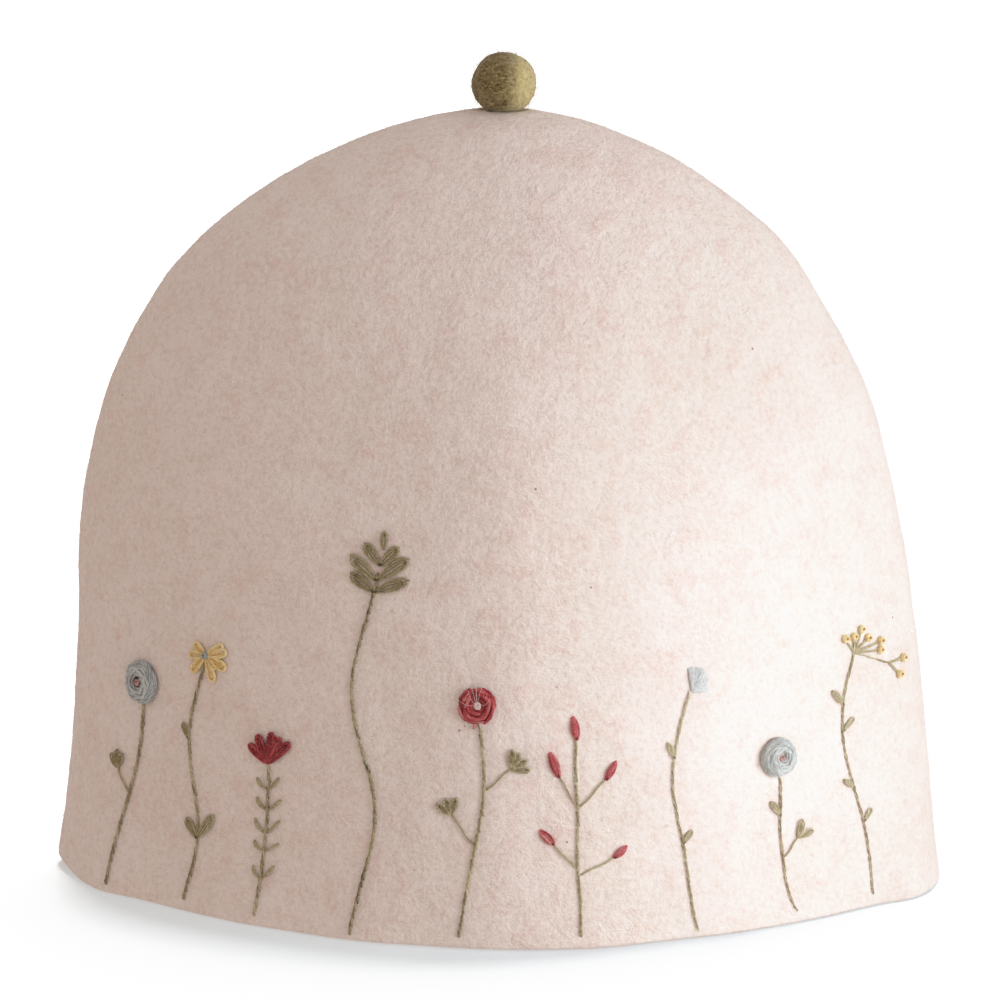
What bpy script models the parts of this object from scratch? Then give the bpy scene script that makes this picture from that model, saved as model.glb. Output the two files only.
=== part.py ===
"""A wool-felt tea cosy with embroidered flower stems and a felt ball on top.

Metres, +Z up. It stands on its hem at z = 0 with the origin at the middle of the hem, and its
embroidered front faces -Y. The felt is one seamless pocket, open at the hem. Each stem, bloom,
bud and knot of the embroidery is a low solid that lies on the felt.
"""

import math
from collections import namedtuple

import bmesh
import bpy
import numpy as np
from mathutils import Vector
from mathutils.bvhtree import BVHTree

# Driving dimensions of the cosy as it stands
HEM_WIDTH = 0.280
HEM_DEPTH = 0.156
BODY_HEIGHT = 0.2425
FELT_THICKNESS = 0.004
HEM_ROUNDING = 0.0011
BALL_DIAMETER = 0.020
BALL_SINK = 0.0016  # how far the sewn ball sits down into the crown
GAP = 0.0003  # between pieces that touch

# How finely the felt is divided
COLUMNS = 52  # points round each section
STEPS_PER_SECTION = 2  # rows between two rows of the table
TRIM = 0.008  # spare felt below the hem, cut away

# The embroidery
STEM_WIDE, STEM_TALL = 0.0020, 0.0011
TWIG_WIDE, TWIG_TALL = 0.0014, 0.0009
LEAF_TALL = 0.0010
PETAL_TALL = 0.0013
BUD_WIDE, BUD_TALL = 0.0027, 0.0017
KNOT_RADIUS, KNOT_TALL = 0.00125, 0.0016
STEP = 0.0014  # between two points of a short stitch, along the felt
OVER_TWIG = 0.00012  # how much higher one stitch lies than the one it crosses

# The felt's form, a row for each level section, as shares of BODY_HEIGHT and of half the hem's
# width and depth. pinch is 0 for an oval and more for a lens with a soft fold at each side.
Section = namedtuple("Section", "height left right front back pinch")
SECTIONS = (
    Section(0.000, 1.012, 0.996, 0.990, 1.000, 0.58),
    Section(0.055, 0.998, 0.982, 0.987, 0.994, 0.58),
    Section(0.165, 0.974, 0.962, 0.976, 0.972, 0.58),
    Section(0.320, 0.953, 0.932, 0.932, 0.925, 0.57),
    Section(0.435, 0.947, 0.903, 0.886, 0.876, 0.56),
    Section(0.537, 0.922, 0.864, 0.828, 0.816, 0.54),
    Section(0.640, 0.874, 0.812, 0.756, 0.745, 0.50),
    Section(0.744, 0.785, 0.722, 0.660, 0.652, 0.42),
    Section(0.822, 0.686, 0.634, 0.566, 0.562, 0.32),
    Section(0.888, 0.545, 0.512, 0.450, 0.450, 0.20),
    Section(0.945, 0.372, 0.357, 0.312, 0.312, 0.08),
    Section(0.984, 0.195, 0.192, 0.170, 0.170, 0.00),
    Section(1.000, 0.000, 0.000, 0.000, 0.000, 0.00),
)

# Soft ridges (rise above 0) and troughs (rise below 0) in the front and back panels, in metres
Swell = namedtuple("Swell", "side across up wide tall lean_deg rise")
SWELLS = (
    Swell("front", 0.008, 0.090, 0.034, 0.120, -3, 0.0030),
    Swell("front", 0.052, 0.158, 0.024, 0.060, 18, -0.0022),
    Swell("front", -0.062, 0.150, 0.040, 0.055, -24, -0.0018),
    Swell("back", -0.012, 0.085, 0.038, 0.110, 5, 0.0034),
    Swell("back", -0.058, 0.140, 0.030, 0.065, -16, -0.0020),
    Swell("back", 0.064, 0.120, 0.036, 0.060, 20, -0.0018),
)

# Stems, from just above the hem to their blooms. bow is the sideways bulge at half height, to +X,
# sway the S that swings to +X in the lower half, and ripple a double S. Metres.
Stem = namedtuple("Stem", "name root root_up top top_up bow sway ripple")
STEMS = (
    Stem("rose_stem", -0.1213, 0.0030, -0.1076, 0.0625, 0.0015, -0.0007, 0.0000),
    Stem("daisy_stem", -0.0946, 0.0039, -0.0871, 0.0766, 0.0000, 0.0029, -0.0002),
    Stem("tulip_stem", -0.0711, 0.0035, -0.0659, 0.0501, 0.0012, 0.0000, 0.0000),
    Stem("fern_stem", -0.0409, 0.0020, -0.0313, 0.1143, -0.0003, 0.0048, -0.0012),
    Stem("red_rose_stem", -0.0076, 0.0038, -0.0013, 0.0686, 0.0029, -0.0009, 0.0000),
    Stem("berry_stem", 0.0288, 0.0041, 0.0273, 0.0637, -0.0002, 0.0001, 0.0003),
    Stem("fan_stem", 0.0637, 0.0020, 0.0603, 0.0754, -0.0050, 0.0013, -0.0003),
    Stem("button_stem", 0.0936, 0.0036, 0.0877, 0.0466, -0.0022, -0.0005, -0.0002),
    Stem("yarrow_stem", 0.1172, 0.0038, 0.1101, 0.0801, -0.0040, 0.0023, 0.0000),
)

# Leaves on the stems. turn_deg is 0 to +X and 90 up the felt, as in every table below.
Leaf = namedtuple("Leaf", "stem up turn_deg long wide")
LEAVES = (
    Leaf("daisy_stem", 0.0547, 122, 0.0050, 0.0020),
    Leaf("daisy_stem", 0.0241, 127, 0.0069, 0.0026),
    Leaf("daisy_stem", 0.0241, 53, 0.0100, 0.0026),
    Leaf("tulip_stem", 0.0431, 142, 0.0053, 0.0015),
    Leaf("tulip_stem", 0.0431, 51, 0.0054, 0.0015),
    Leaf("tulip_stem", 0.0367, 135, 0.0054, 0.0015),
    Leaf("tulip_stem", 0.0367, 41, 0.0060, 0.0015),
    Leaf("tulip_stem", 0.0294, 132, 0.0058, 0.0015),
    Leaf("tulip_stem", 0.0294, 45, 0.0070, 0.0015),
    Leaf("tulip_stem", 0.0239, 140, 0.0046, 0.0015),
    Leaf("tulip_stem", 0.0239, 32, 0.0061, 0.0015),
    Leaf("tulip_stem", 0.0150, 123, 0.0047, 0.0015),
    Leaf("tulip_stem", 0.0150, 45, 0.0068, 0.0015),
    Leaf("fern_stem", 0.1062, 147, 0.0090, 0.0028),
    Leaf("fern_stem", 0.1062, 22, 0.0111, 0.0028),
    Leaf("fern_stem", 0.1096, 142, 0.0109, 0.0030),
    Leaf("fern_stem", 0.1096, 37, 0.0115, 0.0030),
    Leaf("fern_stem", 0.1140, 131, 0.0079, 0.0028),
    Leaf("fern_stem", 0.1140, 48, 0.0074, 0.0028),
    Leaf("fan_stem", 0.0565, 112, 0.0050, 0.0016),
    Leaf("fan_stem", 0.0303, 53, 0.0046, 0.0018),
    Leaf("button_stem", 0.0346, 126, 0.0056, 0.0022),
    Leaf("yarrow_stem", 0.0649, 129, 0.0062, 0.0022),
    Leaf("yarrow_stem", 0.0568, 37, 0.0056, 0.0018),
    Leaf("yarrow_stem", 0.0388, 143, 0.0048, 0.0018),
    Leaf("yarrow_stem", 0.0275, 47, 0.0048, 0.0020),
)

# Side shoots. A shoot ends in a tuft of small leaves, or a little short of a bud.
Twig = namedtuple("Twig", "stem up turn_deg long tuft")
TWIGS = (
    Twig("rose_stem", 0.0325, 127, 0.0092, 3),
    Twig("red_rose_stem", 0.0492, 37, 0.0101, 3),
    Twig("red_rose_stem", 0.0323, 126, 0.0114, 3),
    Twig("berry_stem", 0.0436, 120, 0.0108, 0),
    Twig("berry_stem", 0.0433, 45, 0.0113, 0),
    Twig("berry_stem", 0.0243, 131, 0.0108, 0),
    Twig("berry_stem", 0.0224, 26, 0.0114, 0),
    Twig("button_stem", 0.0210, 47, 0.0078, 2),
)
TUFT_LONG, TUFT_WIDE, TUFT_SPREAD_DEG = 0.0036, 0.0016, 42

# Buds: the top one, then as in TWIGS
Bud = namedtuple("Bud", "turn_deg long")
BUDS = (
    Bud(98, 0.0068),
    Bud(110, 0.0077),
    Bud(58, 0.0060),
    Bud(134, 0.0060),
    Bud(37, 0.0051),
)

# Round blooms
Button = namedtuple("Button", "name across up radius tall")
BUTTONS = (
    Button("blue_rose", -0.1084, 0.0692, 0.0064, 0.0024),
    Button("red_rose", -0.0019, 0.0749, 0.0058, 0.0022),
    Button("blue_button", 0.0864, 0.0531, 0.0058, 0.0036),
)

# Blooms made of straight stitches out of one point, and the stitches of each. eye is the radius
# of a knot at that point, 0 for none.
Bloom = namedtuple("Bloom", "name across up eye")
BLOOMS = (
    Bloom("daisy", -0.0862, 0.0812, 0.0015),
    Bloom("tulip", -0.0661, 0.0514, 0.0),
    Bloom("fern_tip", -0.0306, 0.1187, 0.0),
    Bloom("blue_fan", 0.0611, 0.0763, 0.0),
)
Petal = namedtuple("Petal", "bloom turn_deg long wide")
PETALS = (
    Petal("daisy", 146, 0.0053, 0.0022),
    Petal("daisy", 187, 0.0064, 0.0024),
    Petal("daisy", 227, 0.0078, 0.0024),
    Petal("daisy", 294, 0.0083, 0.0027),
    Petal("daisy", 338, 0.0083, 0.0026),
    Petal("daisy", 18, 0.0080, 0.0030),
    Petal("tulip", 140, 0.0082, 0.0025),
    Petal("tulip", 112, 0.0090, 0.0028),
    Petal("tulip", 83, 0.0098, 0.0026),
    Petal("tulip", 65, 0.0096, 0.0025),
    Petal("tulip", 45, 0.0106, 0.0028),
    Petal("fern_tip", 89, 0.0053, 0.0024),
    Petal("blue_fan", 94, 0.0073, 0.0022),
    Petal("blue_fan", 71, 0.0069, 0.0024),
    Petal("blue_fan", 48, 0.0066, 0.0026),
    Petal("blue_fan", 20, 0.0058, 0.0024),
    Petal("blue_fan", -9, 0.0054, 0.0020),
)

# The yarrow's head: spokes from the top of its stem to its knots. The last one forks.
Spoke = namedtuple("Spoke", "turn_deg long")
SPOKES = (
    Spoke(127, 0.0061),
    Spoke(90, 0.0050),
    Spoke(64, 0.0075),
    Spoke(32, 0.0070),
    Spoke(9, 0.0118),
    Spoke(-5, 0.0112),
)
FORK = Spoke(-21, 0.0160)
FORK_SPOKES = (Spoke(2, 0.0074), Spoke(-42, 0.0066))

FELT = (0.80, 0.71, 0.66)
GREEN_FELT = (0.27, 0.22, 0.09)
GREEN = (0.25, 0.22, 0.08)
RED = (0.45, 0.03, 0.04)
BLUE = (0.42, 0.49, 0.53)
YELLOW = (0.75, 0.48, 0.11)


def remove_everything():
    for obj in list(bpy.data.objects):
        bpy.data.objects.remove(obj)


def collection_named(name):
    made = bpy.data.collections.new(name)
    bpy.context.scene.collection.children.link(made)
    return made


def make_material(name, colour, roughness):
    material = bpy.data.materials.new(name)
    material.use_nodes = True
    shader = material.node_tree.nodes["Principled BSDF"]
    shader.inputs["Base Color"].default_value = (*colour, 1.0)
    shader.inputs["Roughness"].default_value = roughness
    shader.inputs["Metallic"].default_value = 0.0
    return material


def add_object(name, bm, collection, material=None):
    """The bmesh as an object. Without a material it is a guide, which only shapes other pieces."""
    mesh = bpy.data.meshes.new(name)
    bm.to_mesh(mesh)
    bm.free()
    mesh.shade_smooth()
    mesh.set_sharp_from_angle(angle=math.radians(50))
    obj = bpy.data.objects.new(name, mesh)
    collection.objects.link(obj)
    if material:
        mesh.materials.append(material)
    else:
        obj.hide_render = True
        obj.display_type = "WIRE"
    return obj


# The felt


def crown_and_trim(rows):
    """The table with a row past each end: spare felt under the hem, and the mirrored far side of
    the crown, so that the curve through the rows runs level over the top."""
    hem, above = rows[0], rows[1]
    share = TRIM / BODY_HEIGHT / (above[0] - hem[0])
    below = hem - (above - hem) * share
    beyond = rows[-2] * np.array([1, -1, -1, -1, -1, 1])
    return np.vstack([below, rows, beyond])


def felt_rows():
    """Every row of the felt from the trim line to the crown, on one smooth curve through the
    table. No row lies on the trim plane itself."""
    rows = crown_and_trim(np.array(SECTIONS, float))
    lengths = np.linalg.norm(np.diff(rows[:, :5], axis=0), axis=1)
    at = np.concatenate([[0.0], np.cumsum(lengths)])
    slope = (rows[2:] - rows[:-2]) / (at[2:] - at[:-2])[:, None]
    slope = np.vstack([(rows[1] - rows[0]) / lengths[0], slope])
    made = []
    for i in range(len(rows) - 2):
        span = at[i + 1] - at[i]
        for step in range(STEPS_PER_SECTION):
            t = step / STEPS_PER_SECTION
            start = (1 + 2 * t) * (1 - t) ** 2 * rows[i] + t * (1 - t) ** 2 * span * slope[i]
            end = t * t * (3 - 2 * t) * rows[i + 1] + t * t * (t - 1) * span * slope[i + 1]
            made.append(Section(*(start + end)))
    return [section for section in made if abs(section.height) > 1e-6]


def swell_at(side, across, up):
    """How far the felt stands out of its plain form there."""
    total = 0.0
    for swell in SWELLS:
        if swell.side != side:
            continue
        lean = math.radians(swell.lean_deg)
        dx, dz = across - swell.across, up - swell.up
        over = (dx * math.cos(lean) - dz * math.sin(lean)) / swell.wide
        along = (dx * math.sin(lean) + dz * math.cos(lean)) / swell.tall
        total += swell.rise * math.exp(-over * over - along * along)
    return total


def felt_point(section, turn):
    """A point of the felt's outer face. turn runs from +X over the back and round."""
    c, s = math.cos(turn), math.sin(turn)
    half_width = HEM_WIDTH / 2 * (section.right if c > 0 else section.left)
    half_depth = HEM_DEPTH / 2 * (section.back if s > 0 else section.front)
    x, z = half_width * c, BODY_HEIGHT * section.height
    bulge = abs(s) * (1 - section.pinch * (1 - abs(s)))
    depth = (half_depth + swell_at("back" if s > 0 else "front", x, z)) * bulge
    return Vector((x, math.copysign(depth, s), z))


def make_felt(cosy, cutters, material):
    """The outer face as lofted rows closed by a fan at the crown, thickened inwards, trimmed flat
    at the hem and hollowed a little under the ball."""
    bm = bmesh.new()
    rows = []
    for section in felt_rows():
        turns = (2 * math.pi * i / COLUMNS for i in range(COLUMNS))
        rows.append([bm.verts.new(felt_point(section, turn)) for turn in turns])
    crown = bm.verts.new((0, 0, BODY_HEIGHT))
    for lower, upper in zip(rows, rows[1:]):
        for i in range(COLUMNS):
            j = (i + 1) % COLUMNS
            bm.faces.new((lower[i], lower[j], upper[j], upper[i]))
    for i in range(COLUMNS):
        bm.faces.new((rows[-1][i], rows[-1][(i + 1) % COLUMNS], crown))
    body = add_object("felt_body", bm, cosy, material)

    shell = body.modifiers.new("Felt thickness", "SOLIDIFY")
    shell.thickness = FELT_THICKNESS
    shell.offset = -1
    shell.use_even_offset = True

    bm = bmesh.new()
    bmesh.ops.create_cube(bm, size=1)
    bmesh.ops.scale(bm, vec=(HEM_WIDTH * 1.3, HEM_DEPTH * 1.5, 0.04), verts=bm.verts)
    bmesh.ops.translate(bm, vec=(0, 0, -0.02), verts=bm.verts)
    cut = body.modifiers.new("Hem trim", "BOOLEAN")
    cut.object = add_object("hem_cutter", bm, cutters)

    cut = body.modifiers.new("Ball seat", "BOOLEAN")
    cut.object = add_object("ball_cutter", ball_shape(GAP), cutters)

    edge = body.modifiers.new("Soft hem", "BEVEL")
    edge.width = HEM_ROUNDING
    edge.segments = 2
    edge.limit_method = "ANGLE"
    edge.angle_limit = math.radians(55)
    return body


def ball_shape(extra):
    radius = BALL_DIAMETER / 2
    bm = bmesh.new()
    bmesh.ops.create_uvsphere(bm, u_segments=22, v_segments=12, radius=radius + extra)
    bmesh.ops.translate(bm, vec=(0, 0, BODY_HEIGHT + radius - BALL_SINK), verts=bm.verts)
    return bm


# Stitches on the felt


def frame_at(normal):
    """Level and upward directions along the felt where it faces normal."""
    level = Vector((0, 0, 1)).cross(normal).normalized()
    return level, normal.cross(level).normalized()


def front_point(felt, across, up):
    """The front of the felt at that place, and its normal."""
    point, normal, _, _ = felt.ray_cast(Vector((across, -HEM_DEPTH, up)), Vector((0, 1, 0)))
    return point, normal


def walk(felt, start, turn_deg, long):
    """Places along the felt from start, each with its normal. start is a place of the same
    kind."""
    turn = math.radians(turn_deg)
    steps = max(3, round(long / STEP))
    path = [start]
    for _ in range(steps):
        point, normal = path[-1]
        level, upward = frame_at(normal)
        ahead = (level * math.cos(turn) + upward * math.sin(turn)) * long / steps
        point, normal, _, _ = felt.find_nearest(point + ahead)
        path.append((point, normal))
    return path


def stem_across(stem, up):
    t = (up - stem.root_up) / (stem.top_up - stem.root_up)
    lean = stem.root + (stem.top - stem.root) * t
    bend = stem.sway * math.sin(2 * math.pi * t) + stem.ripple * math.sin(4 * math.pi * t)
    return lean + 4 * stem.bow * t * (1 - t) + bend


def stem_path(felt, stem):
    tall = stem.top_up - stem.root_up
    count = max(5, round(tall / 0.0055))
    ups = [stem.root_up + tall * i / count for i in range(count + 1)]
    return [front_point(felt, stem_across(stem, up), up) for up in ups]


def stitch_shape(path, wide, tall, lift=GAP, taper=0.0):
    """A low rounded bar along the path, flat where it lies on the felt. taper 1 draws it to a
    blunt point at both ends."""
    bm = bmesh.new()
    rings = []
    outline = ((-1.0, 0.0), (-0.82, 0.62), (0.0, 1.0), (0.82, 0.62), (1.0, 0.0))
    for i, (point, normal) in enumerate(path):
        along = path[min(i + 1, len(path) - 1)][0] - path[max(i - 1, 0)][0]
        sideways = normal.cross(along).normalized()
        t = i / (len(path) - 1)
        full = 1 - taper * (0.62 - 0.62 * math.sin(math.pi * min(1, 0.08 + 0.92 * t)) ** 0.7)
        ring = []
        for side, height in outline:
            place = sideways * side * wide / 2 * full + normal * (lift + height * tall * full)
            ring.append(bm.verts.new(point + place))
        rings.append(ring)
    for first, second in zip(rings, rings[1:]):
        for i in range(len(outline)):
            j = (i + 1) % len(outline)
            bm.faces.new((first[i], first[j], second[j], second[i]))
    bm.faces.new(rings[0])
    bm.faces.new(rings[-1])
    bmesh.ops.recalc_face_normals(bm, faces=bm.faces)
    return bm


def button_shape(place, radius, tall, segments=16, lift=GAP):
    """A flat-bottomed dome on the felt: the upper part of a squashed sphere."""
    point, normal = place
    level, upward = frame_at(normal)
    bm = bmesh.new()
    bmesh.ops.create_uvsphere(bm, u_segments=segments, v_segments=8, radius=1)
    everything = list(bm.verts) + list(bm.edges) + list(bm.faces)
    cut = bmesh.ops.bisect_plane(
        bm, geom=everything, plane_co=(0, 0, -0.3), plane_no=(0, 0, -1), clear_outer=True
    )
    rim = [item for item in cut["geom_cut"] if isinstance(item, bmesh.types.BMEdge)]
    bmesh.ops.contextual_create(bm, geom=rim)
    bmesh.ops.recalc_face_normals(bm, faces=bm.faces)
    for vert in bm.verts:
        local = vert.co.copy()
        height = lift + (local.z + 0.3) / 1.3 * tall
        vert.co = point + (level * local.x + upward * local.y) * radius + normal * height
    return bm


def fuse(name, shapes, cosy, guides, material):
    """One solid from overlapping stitches: the first one with the rest joined on."""
    body = add_object(name, shapes[0], cosy, material)
    if len(shapes) > 1:
        rest = bpy.data.collections.new(name + "_stitches")
        guides.children.link(rest)
        for i, shape in enumerate(shapes[1:]):
            add_object(f"{name}_stitch_{i + 1}", shape, rest)
        join = body.modifiers.new("Joined stitches", "BOOLEAN")
        join.operation = "UNION"
        join.operand_type = "COLLECTION"
        join.collection = rest
    return body


def tuft_shapes(felt, tip, twig):
    """Small leaves spread about the shoot's own direction."""
    shapes = []
    for i in range(twig.tuft):
        turn = twig.turn_deg + TUFT_SPREAD_DEG * (i - (twig.tuft - 1) / 2)
        path = walk(felt, tip, turn, TUFT_LONG)
        lift = GAP + OVER_TWIG * (i + 1)
        shapes.append(stitch_shape(path, TUFT_WIDE, LEAF_TALL * 0.9, lift, 1.0))
    return shapes


def make_stem(felt, stem, cosy, guides, materials):
    wide, tall = (TWIG_WIDE, TWIG_TALL) if stem.name == "yarrow_stem" else (STEM_WIDE, STEM_TALL)
    shapes = [stitch_shape(stem_path(felt, stem), wide, tall)]
    for leaf in (leaf for leaf in LEAVES if leaf.stem == stem.name):
        start = front_point(felt, stem_across(stem, leaf.up), leaf.up)
        path = walk(felt, start, leaf.turn_deg, leaf.long)
        shapes.append(stitch_shape(path, leaf.wide, LEAF_TALL, GAP + OVER_TWIG, 1.0))
    for number, twig in enumerate(twig for twig in TWIGS if twig.stem == stem.name):
        start = front_point(felt, stem_across(stem, twig.up), twig.up)
        path = walk(felt, start, twig.turn_deg, twig.long)
        shapes.append(stitch_shape(path, TWIG_WIDE, TWIG_TALL, GAP + OVER_TWIG))
        shapes.extend(tuft_shapes(felt, path[-2], twig))
        if stem.name == "berry_stem":
            start = walk(felt, path[-1], twig.turn_deg, 2 * GAP)[-1]
            make_bud(felt, number + 1, start, cosy, materials)
    if stem.name == "yarrow_stem":
        shapes.extend(make_yarrow_head(felt, front_point(felt, stem.top, stem.top_up), cosy, materials))
    if stem.name == "berry_stem":
        start = front_point(felt, stem.top, stem.top_up + 2 * GAP)
        make_bud(felt, 0, start, cosy, materials)
    fuse(stem.name, shapes, cosy, guides, materials["green"])


def make_bud(felt, number, start, cosy, materials):
    path = walk(felt, start, BUDS[number].turn_deg, BUDS[number].long)
    shape = stitch_shape(path, BUD_WIDE, BUD_TALL, GAP, 0.8)
    add_object(f"bud_{number}", shape, cosy, materials["red"])


def make_yarrow_head(felt, hub, cosy, materials):
    """The spokes' shapes. Each knot is made here too, a hair past the end of its spoke."""
    fork = walk(felt, hub, FORK.turn_deg, FORK.long)
    shapes = [stitch_shape(fork, TWIG_WIDE, TWIG_TALL, GAP + OVER_TWIG)]
    ends = [(hub, spoke) for spoke in SPOKES] + [(fork[-1], spoke) for spoke in FORK_SPOKES]
    for number, (start, spoke) in enumerate(ends):
        short = spoke.long - KNOT_RADIUS - 2 * GAP
        path = walk(felt, start, spoke.turn_deg, short)
        lift = GAP + OVER_TWIG * (number + 2) / 2
        shapes.append(stitch_shape(path, TWIG_WIDE * 0.8, TWIG_TALL, lift))
        place = walk(felt, start, spoke.turn_deg, spoke.long)[-1]
        knot = button_shape(place, KNOT_RADIUS, KNOT_TALL, 9)
        add_object(f"yarrow_knot_{number + 1}", knot, cosy, materials["yellow"])
    return shapes


def make_bloom(felt, bloom, cosy, guides, material):
    centre = front_point(felt, bloom.across, bloom.up)
    shapes = []
    if bloom.eye:
        shapes.append(button_shape(centre, bloom.eye, PETAL_TALL * 1.3, 12))
    for i, petal in enumerate(petal for petal in PETALS if petal.bloom == bloom.name):
        path = walk(felt, centre, petal.turn_deg, petal.long)
        lift = GAP + OVER_TWIG * (i % 3 + 1)
        shapes.append(stitch_shape(path, petal.wide, PETAL_TALL, lift, 0.8))
    fuse(bloom.name, shapes, cosy, guides, material)


def main():
    remove_everything()
    cosy = collection_named("tea_cosy")
    cutters = collection_named("cutters")
    guides = collection_named("stitches")
    materials = {
        "green": make_material("green_thread", GREEN, 0.75),
        "red": make_material("red_thread", RED, 0.75),
        "blue": make_material("blue_thread", BLUE, 0.75),
        "yellow": make_material("yellow_thread", YELLOW, 0.75),
    }
    body = make_felt(cosy, cutters, make_material("blush_felt", FELT, 0.95))
    add_object("felt_ball", ball_shape(0), cosy, make_material("green_felt", GREEN_FELT, 0.95))

    felt = BVHTree.FromObject(body, bpy.context.evaluated_depsgraph_get())
    for stem in STEMS:
        make_stem(felt, stem, cosy, guides, materials)
    for button in BUTTONS:
        place = front_point(felt, button.across, button.up)
        material = materials["red" if button.name == "red_rose" else "blue"]
        add_object(button.name, button_shape(place, button.radius, button.tall), cosy, material)
    colours = {"daisy": "yellow", "tulip": "red", "fern_tip": "green", "blue_fan": "blue"}
    for bloom in BLOOMS:
        make_bloom(felt, bloom, cosy, guides, materials[colours[bloom.name]])


main()
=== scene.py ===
import math
import random

import bmesh
import bpy
import numpy as np
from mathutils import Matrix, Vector
from mathutils.bvhtree import BVHTree
from mathutils.kdtree import KDTree


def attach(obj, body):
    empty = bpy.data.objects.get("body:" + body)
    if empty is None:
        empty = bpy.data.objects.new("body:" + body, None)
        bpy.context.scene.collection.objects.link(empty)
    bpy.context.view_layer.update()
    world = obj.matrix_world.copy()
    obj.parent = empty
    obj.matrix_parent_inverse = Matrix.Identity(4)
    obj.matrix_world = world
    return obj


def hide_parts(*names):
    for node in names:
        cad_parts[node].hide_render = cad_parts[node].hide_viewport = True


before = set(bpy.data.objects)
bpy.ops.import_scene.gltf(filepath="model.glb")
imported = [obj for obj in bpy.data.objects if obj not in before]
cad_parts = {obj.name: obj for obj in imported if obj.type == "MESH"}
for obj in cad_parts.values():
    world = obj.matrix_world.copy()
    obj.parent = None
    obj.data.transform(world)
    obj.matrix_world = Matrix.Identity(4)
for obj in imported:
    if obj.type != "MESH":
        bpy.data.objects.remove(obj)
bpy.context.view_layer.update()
dice = random.Random(417)
scene = bpy.context.scene


# Node helpers, for both geometry and shader trees

def addNode(tree, kind, sockets=None, **settings):
    # A socket given another node's output is linked to it, and any other value is set
    node = tree.nodes.new(kind)
    for key, value in settings.items():
        setattr(node, key, value)
    for key, value in (sockets or {}).items():
        socket = node.inputs[key]
        if isinstance(value, bpy.types.NodeSocket):
            tree.links.new(value, socket)
        else:
            socket.default_value = value
    return node


def outOf(tree, kind, sockets=None, out=0, **settings):
    return addNode(tree, kind, sockets, **settings).outputs[out]


def reckon(tree, operation, first, second=0.0):
    return outOf(tree, "ShaderNodeMath", {0: first, 1: second}, operation=operation)


def plus(tree, first, second):
    return reckon(tree, "ADD", first, second)


def times(tree, first, second):
    return reckon(tree, "MULTIPLY", first, second)


def reckonVector(tree, operation, first, second=(0.0, 0.0, 0.0)):
    return outOf(tree, "ShaderNodeVectorMath", {0: first, 1: second}, operation=operation)


def scaled(tree, vector, share):
    return outOf(tree, "ShaderNodeVectorMath", {0: vector, "Scale": share}, operation="SCALE")


def readOf(tree, name, kind="FLOAT"):
    return outOf(tree, "GeometryNodeInputNamedAttribute", {"Name": name}, "Attribute", data_type=kind)


def storeOn(tree, geometry, name, value, kind="FLOAT"):
    return outOf(tree, "GeometryNodeStoreNamedAttribute",
                 {"Geometry": geometry, "Name": name, "Value": value}, data_type=kind, domain="POINT")


def startTree(name, numbers, counts=()):
    # A tree with named inputs: sizes, whole numbers and a material
    tree = bpy.data.node_groups.new(name, "GeometryNodeTree")
    tree.interface.new_socket("Geometry", in_out="OUTPUT", socket_type="NodeSocketGeometry")
    for label, kind in (("Geometry", "Geometry"), *((label, "Float") for label in numbers),
                        *((label, "Int") for label in counts), ("Material", "Material")):
        tree.interface.new_socket(label, in_out="INPUT", socket_type="NodeSocket" + kind)
    return tree, tree.nodes.new("NodeGroupInput").outputs


def endTree(tree, geometry, material):
    plain = outOf(tree, "GeometryNodeRealizeInstances", {"Geometry": geometry})
    smooth = outOf(tree, "GeometryNodeSetShadeSmooth", {"Geometry": plain})
    done = outOf(tree, "GeometryNodeSetMaterial", {"Geometry": smooth, "Material": material})
    addNode(tree, "NodeGroupOutput", {0: done})


def grow(name, mesh, tree, values):
    # The tree's result as a plain mesh, with no modifier left on it
    piece = bpy.data.objects.new(name, mesh)
    scene.collection.objects.link(piece)
    modifier = piece.modifiers.new(tree.name, "NODES")
    modifier.node_group = tree
    for item in tree.interface.items_tree:
        if item.item_type == "SOCKET" and item.in_out == "INPUT" and item.name in values:
            modifier[item.identifier] = values[item.name]
    graph = bpy.context.evaluated_depsgraph_get()
    grown = bpy.data.meshes.new_from_object(
        piece.evaluated_get(graph), preserve_all_data_layers=True, depsgraph=graph)
    piece.modifiers.remove(modifier)
    piece.data = grown
    grown.name = name
    bpy.data.meshes.remove(mesh)
    return piece


def wear(piece, slotName, *nodes):
    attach(piece, "root")
    if nodes:
        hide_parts(*nodes)


# Materials

def startMaterial(name, finish):
    material = bpy.data.materials.new(name)
    material.use_nodes = True
    tree = material.node_tree
    shader = tree.nodes["Principled BSDF"].inputs
    for key, value in {"Metallic": 0.0, **finish}.items():
        shader[key].default_value = value
    return material, tree, shader


def placeOf(tree):
    return outOf(tree, "ShaderNodeTexCoord", out="Object")


def noiseOf(tree, vector, scale, detail=3.0, roughness=0.55, distortion=0.0):
    return outOf(tree, "ShaderNodeTexNoise", {"Vector": vector, "Scale": scale, "Detail": detail,
                 "Roughness": roughness, "Distortion": distortion})


def rampOf(tree, fac, stops):
    ramp = addNode(tree, "ShaderNodeValToRGB", {0: fac})
    elements = ramp.color_ramp.elements
    while len(elements) < len(stops):
        elements.new(0.5)
    for element, (at, colour) in zip(elements, stops):
        element.position = at
        element.color = (*colour, 1.0)
    return ramp.outputs[0]


def blendOf(tree, fac, *colours, mode="MIX"):
    first, second = (colour if isinstance(colour, bpy.types.NodeSocket) else (*colour, 1.0)
                     for colour in colours)
    return outOf(tree, "ShaderNodeMix", {0: fac, 6: first, 7: second}, 2, data_type="RGBA",
                 blend_type=mode)


def spanOf(tree, value, low, high, to=(0.0, 1.0)):
    return outOf(tree, "ShaderNodeMapRange", {"Value": value, "From Min": low, "From Max": high,
                 "To Min": to[0], "To Max": to[1]})


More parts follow.
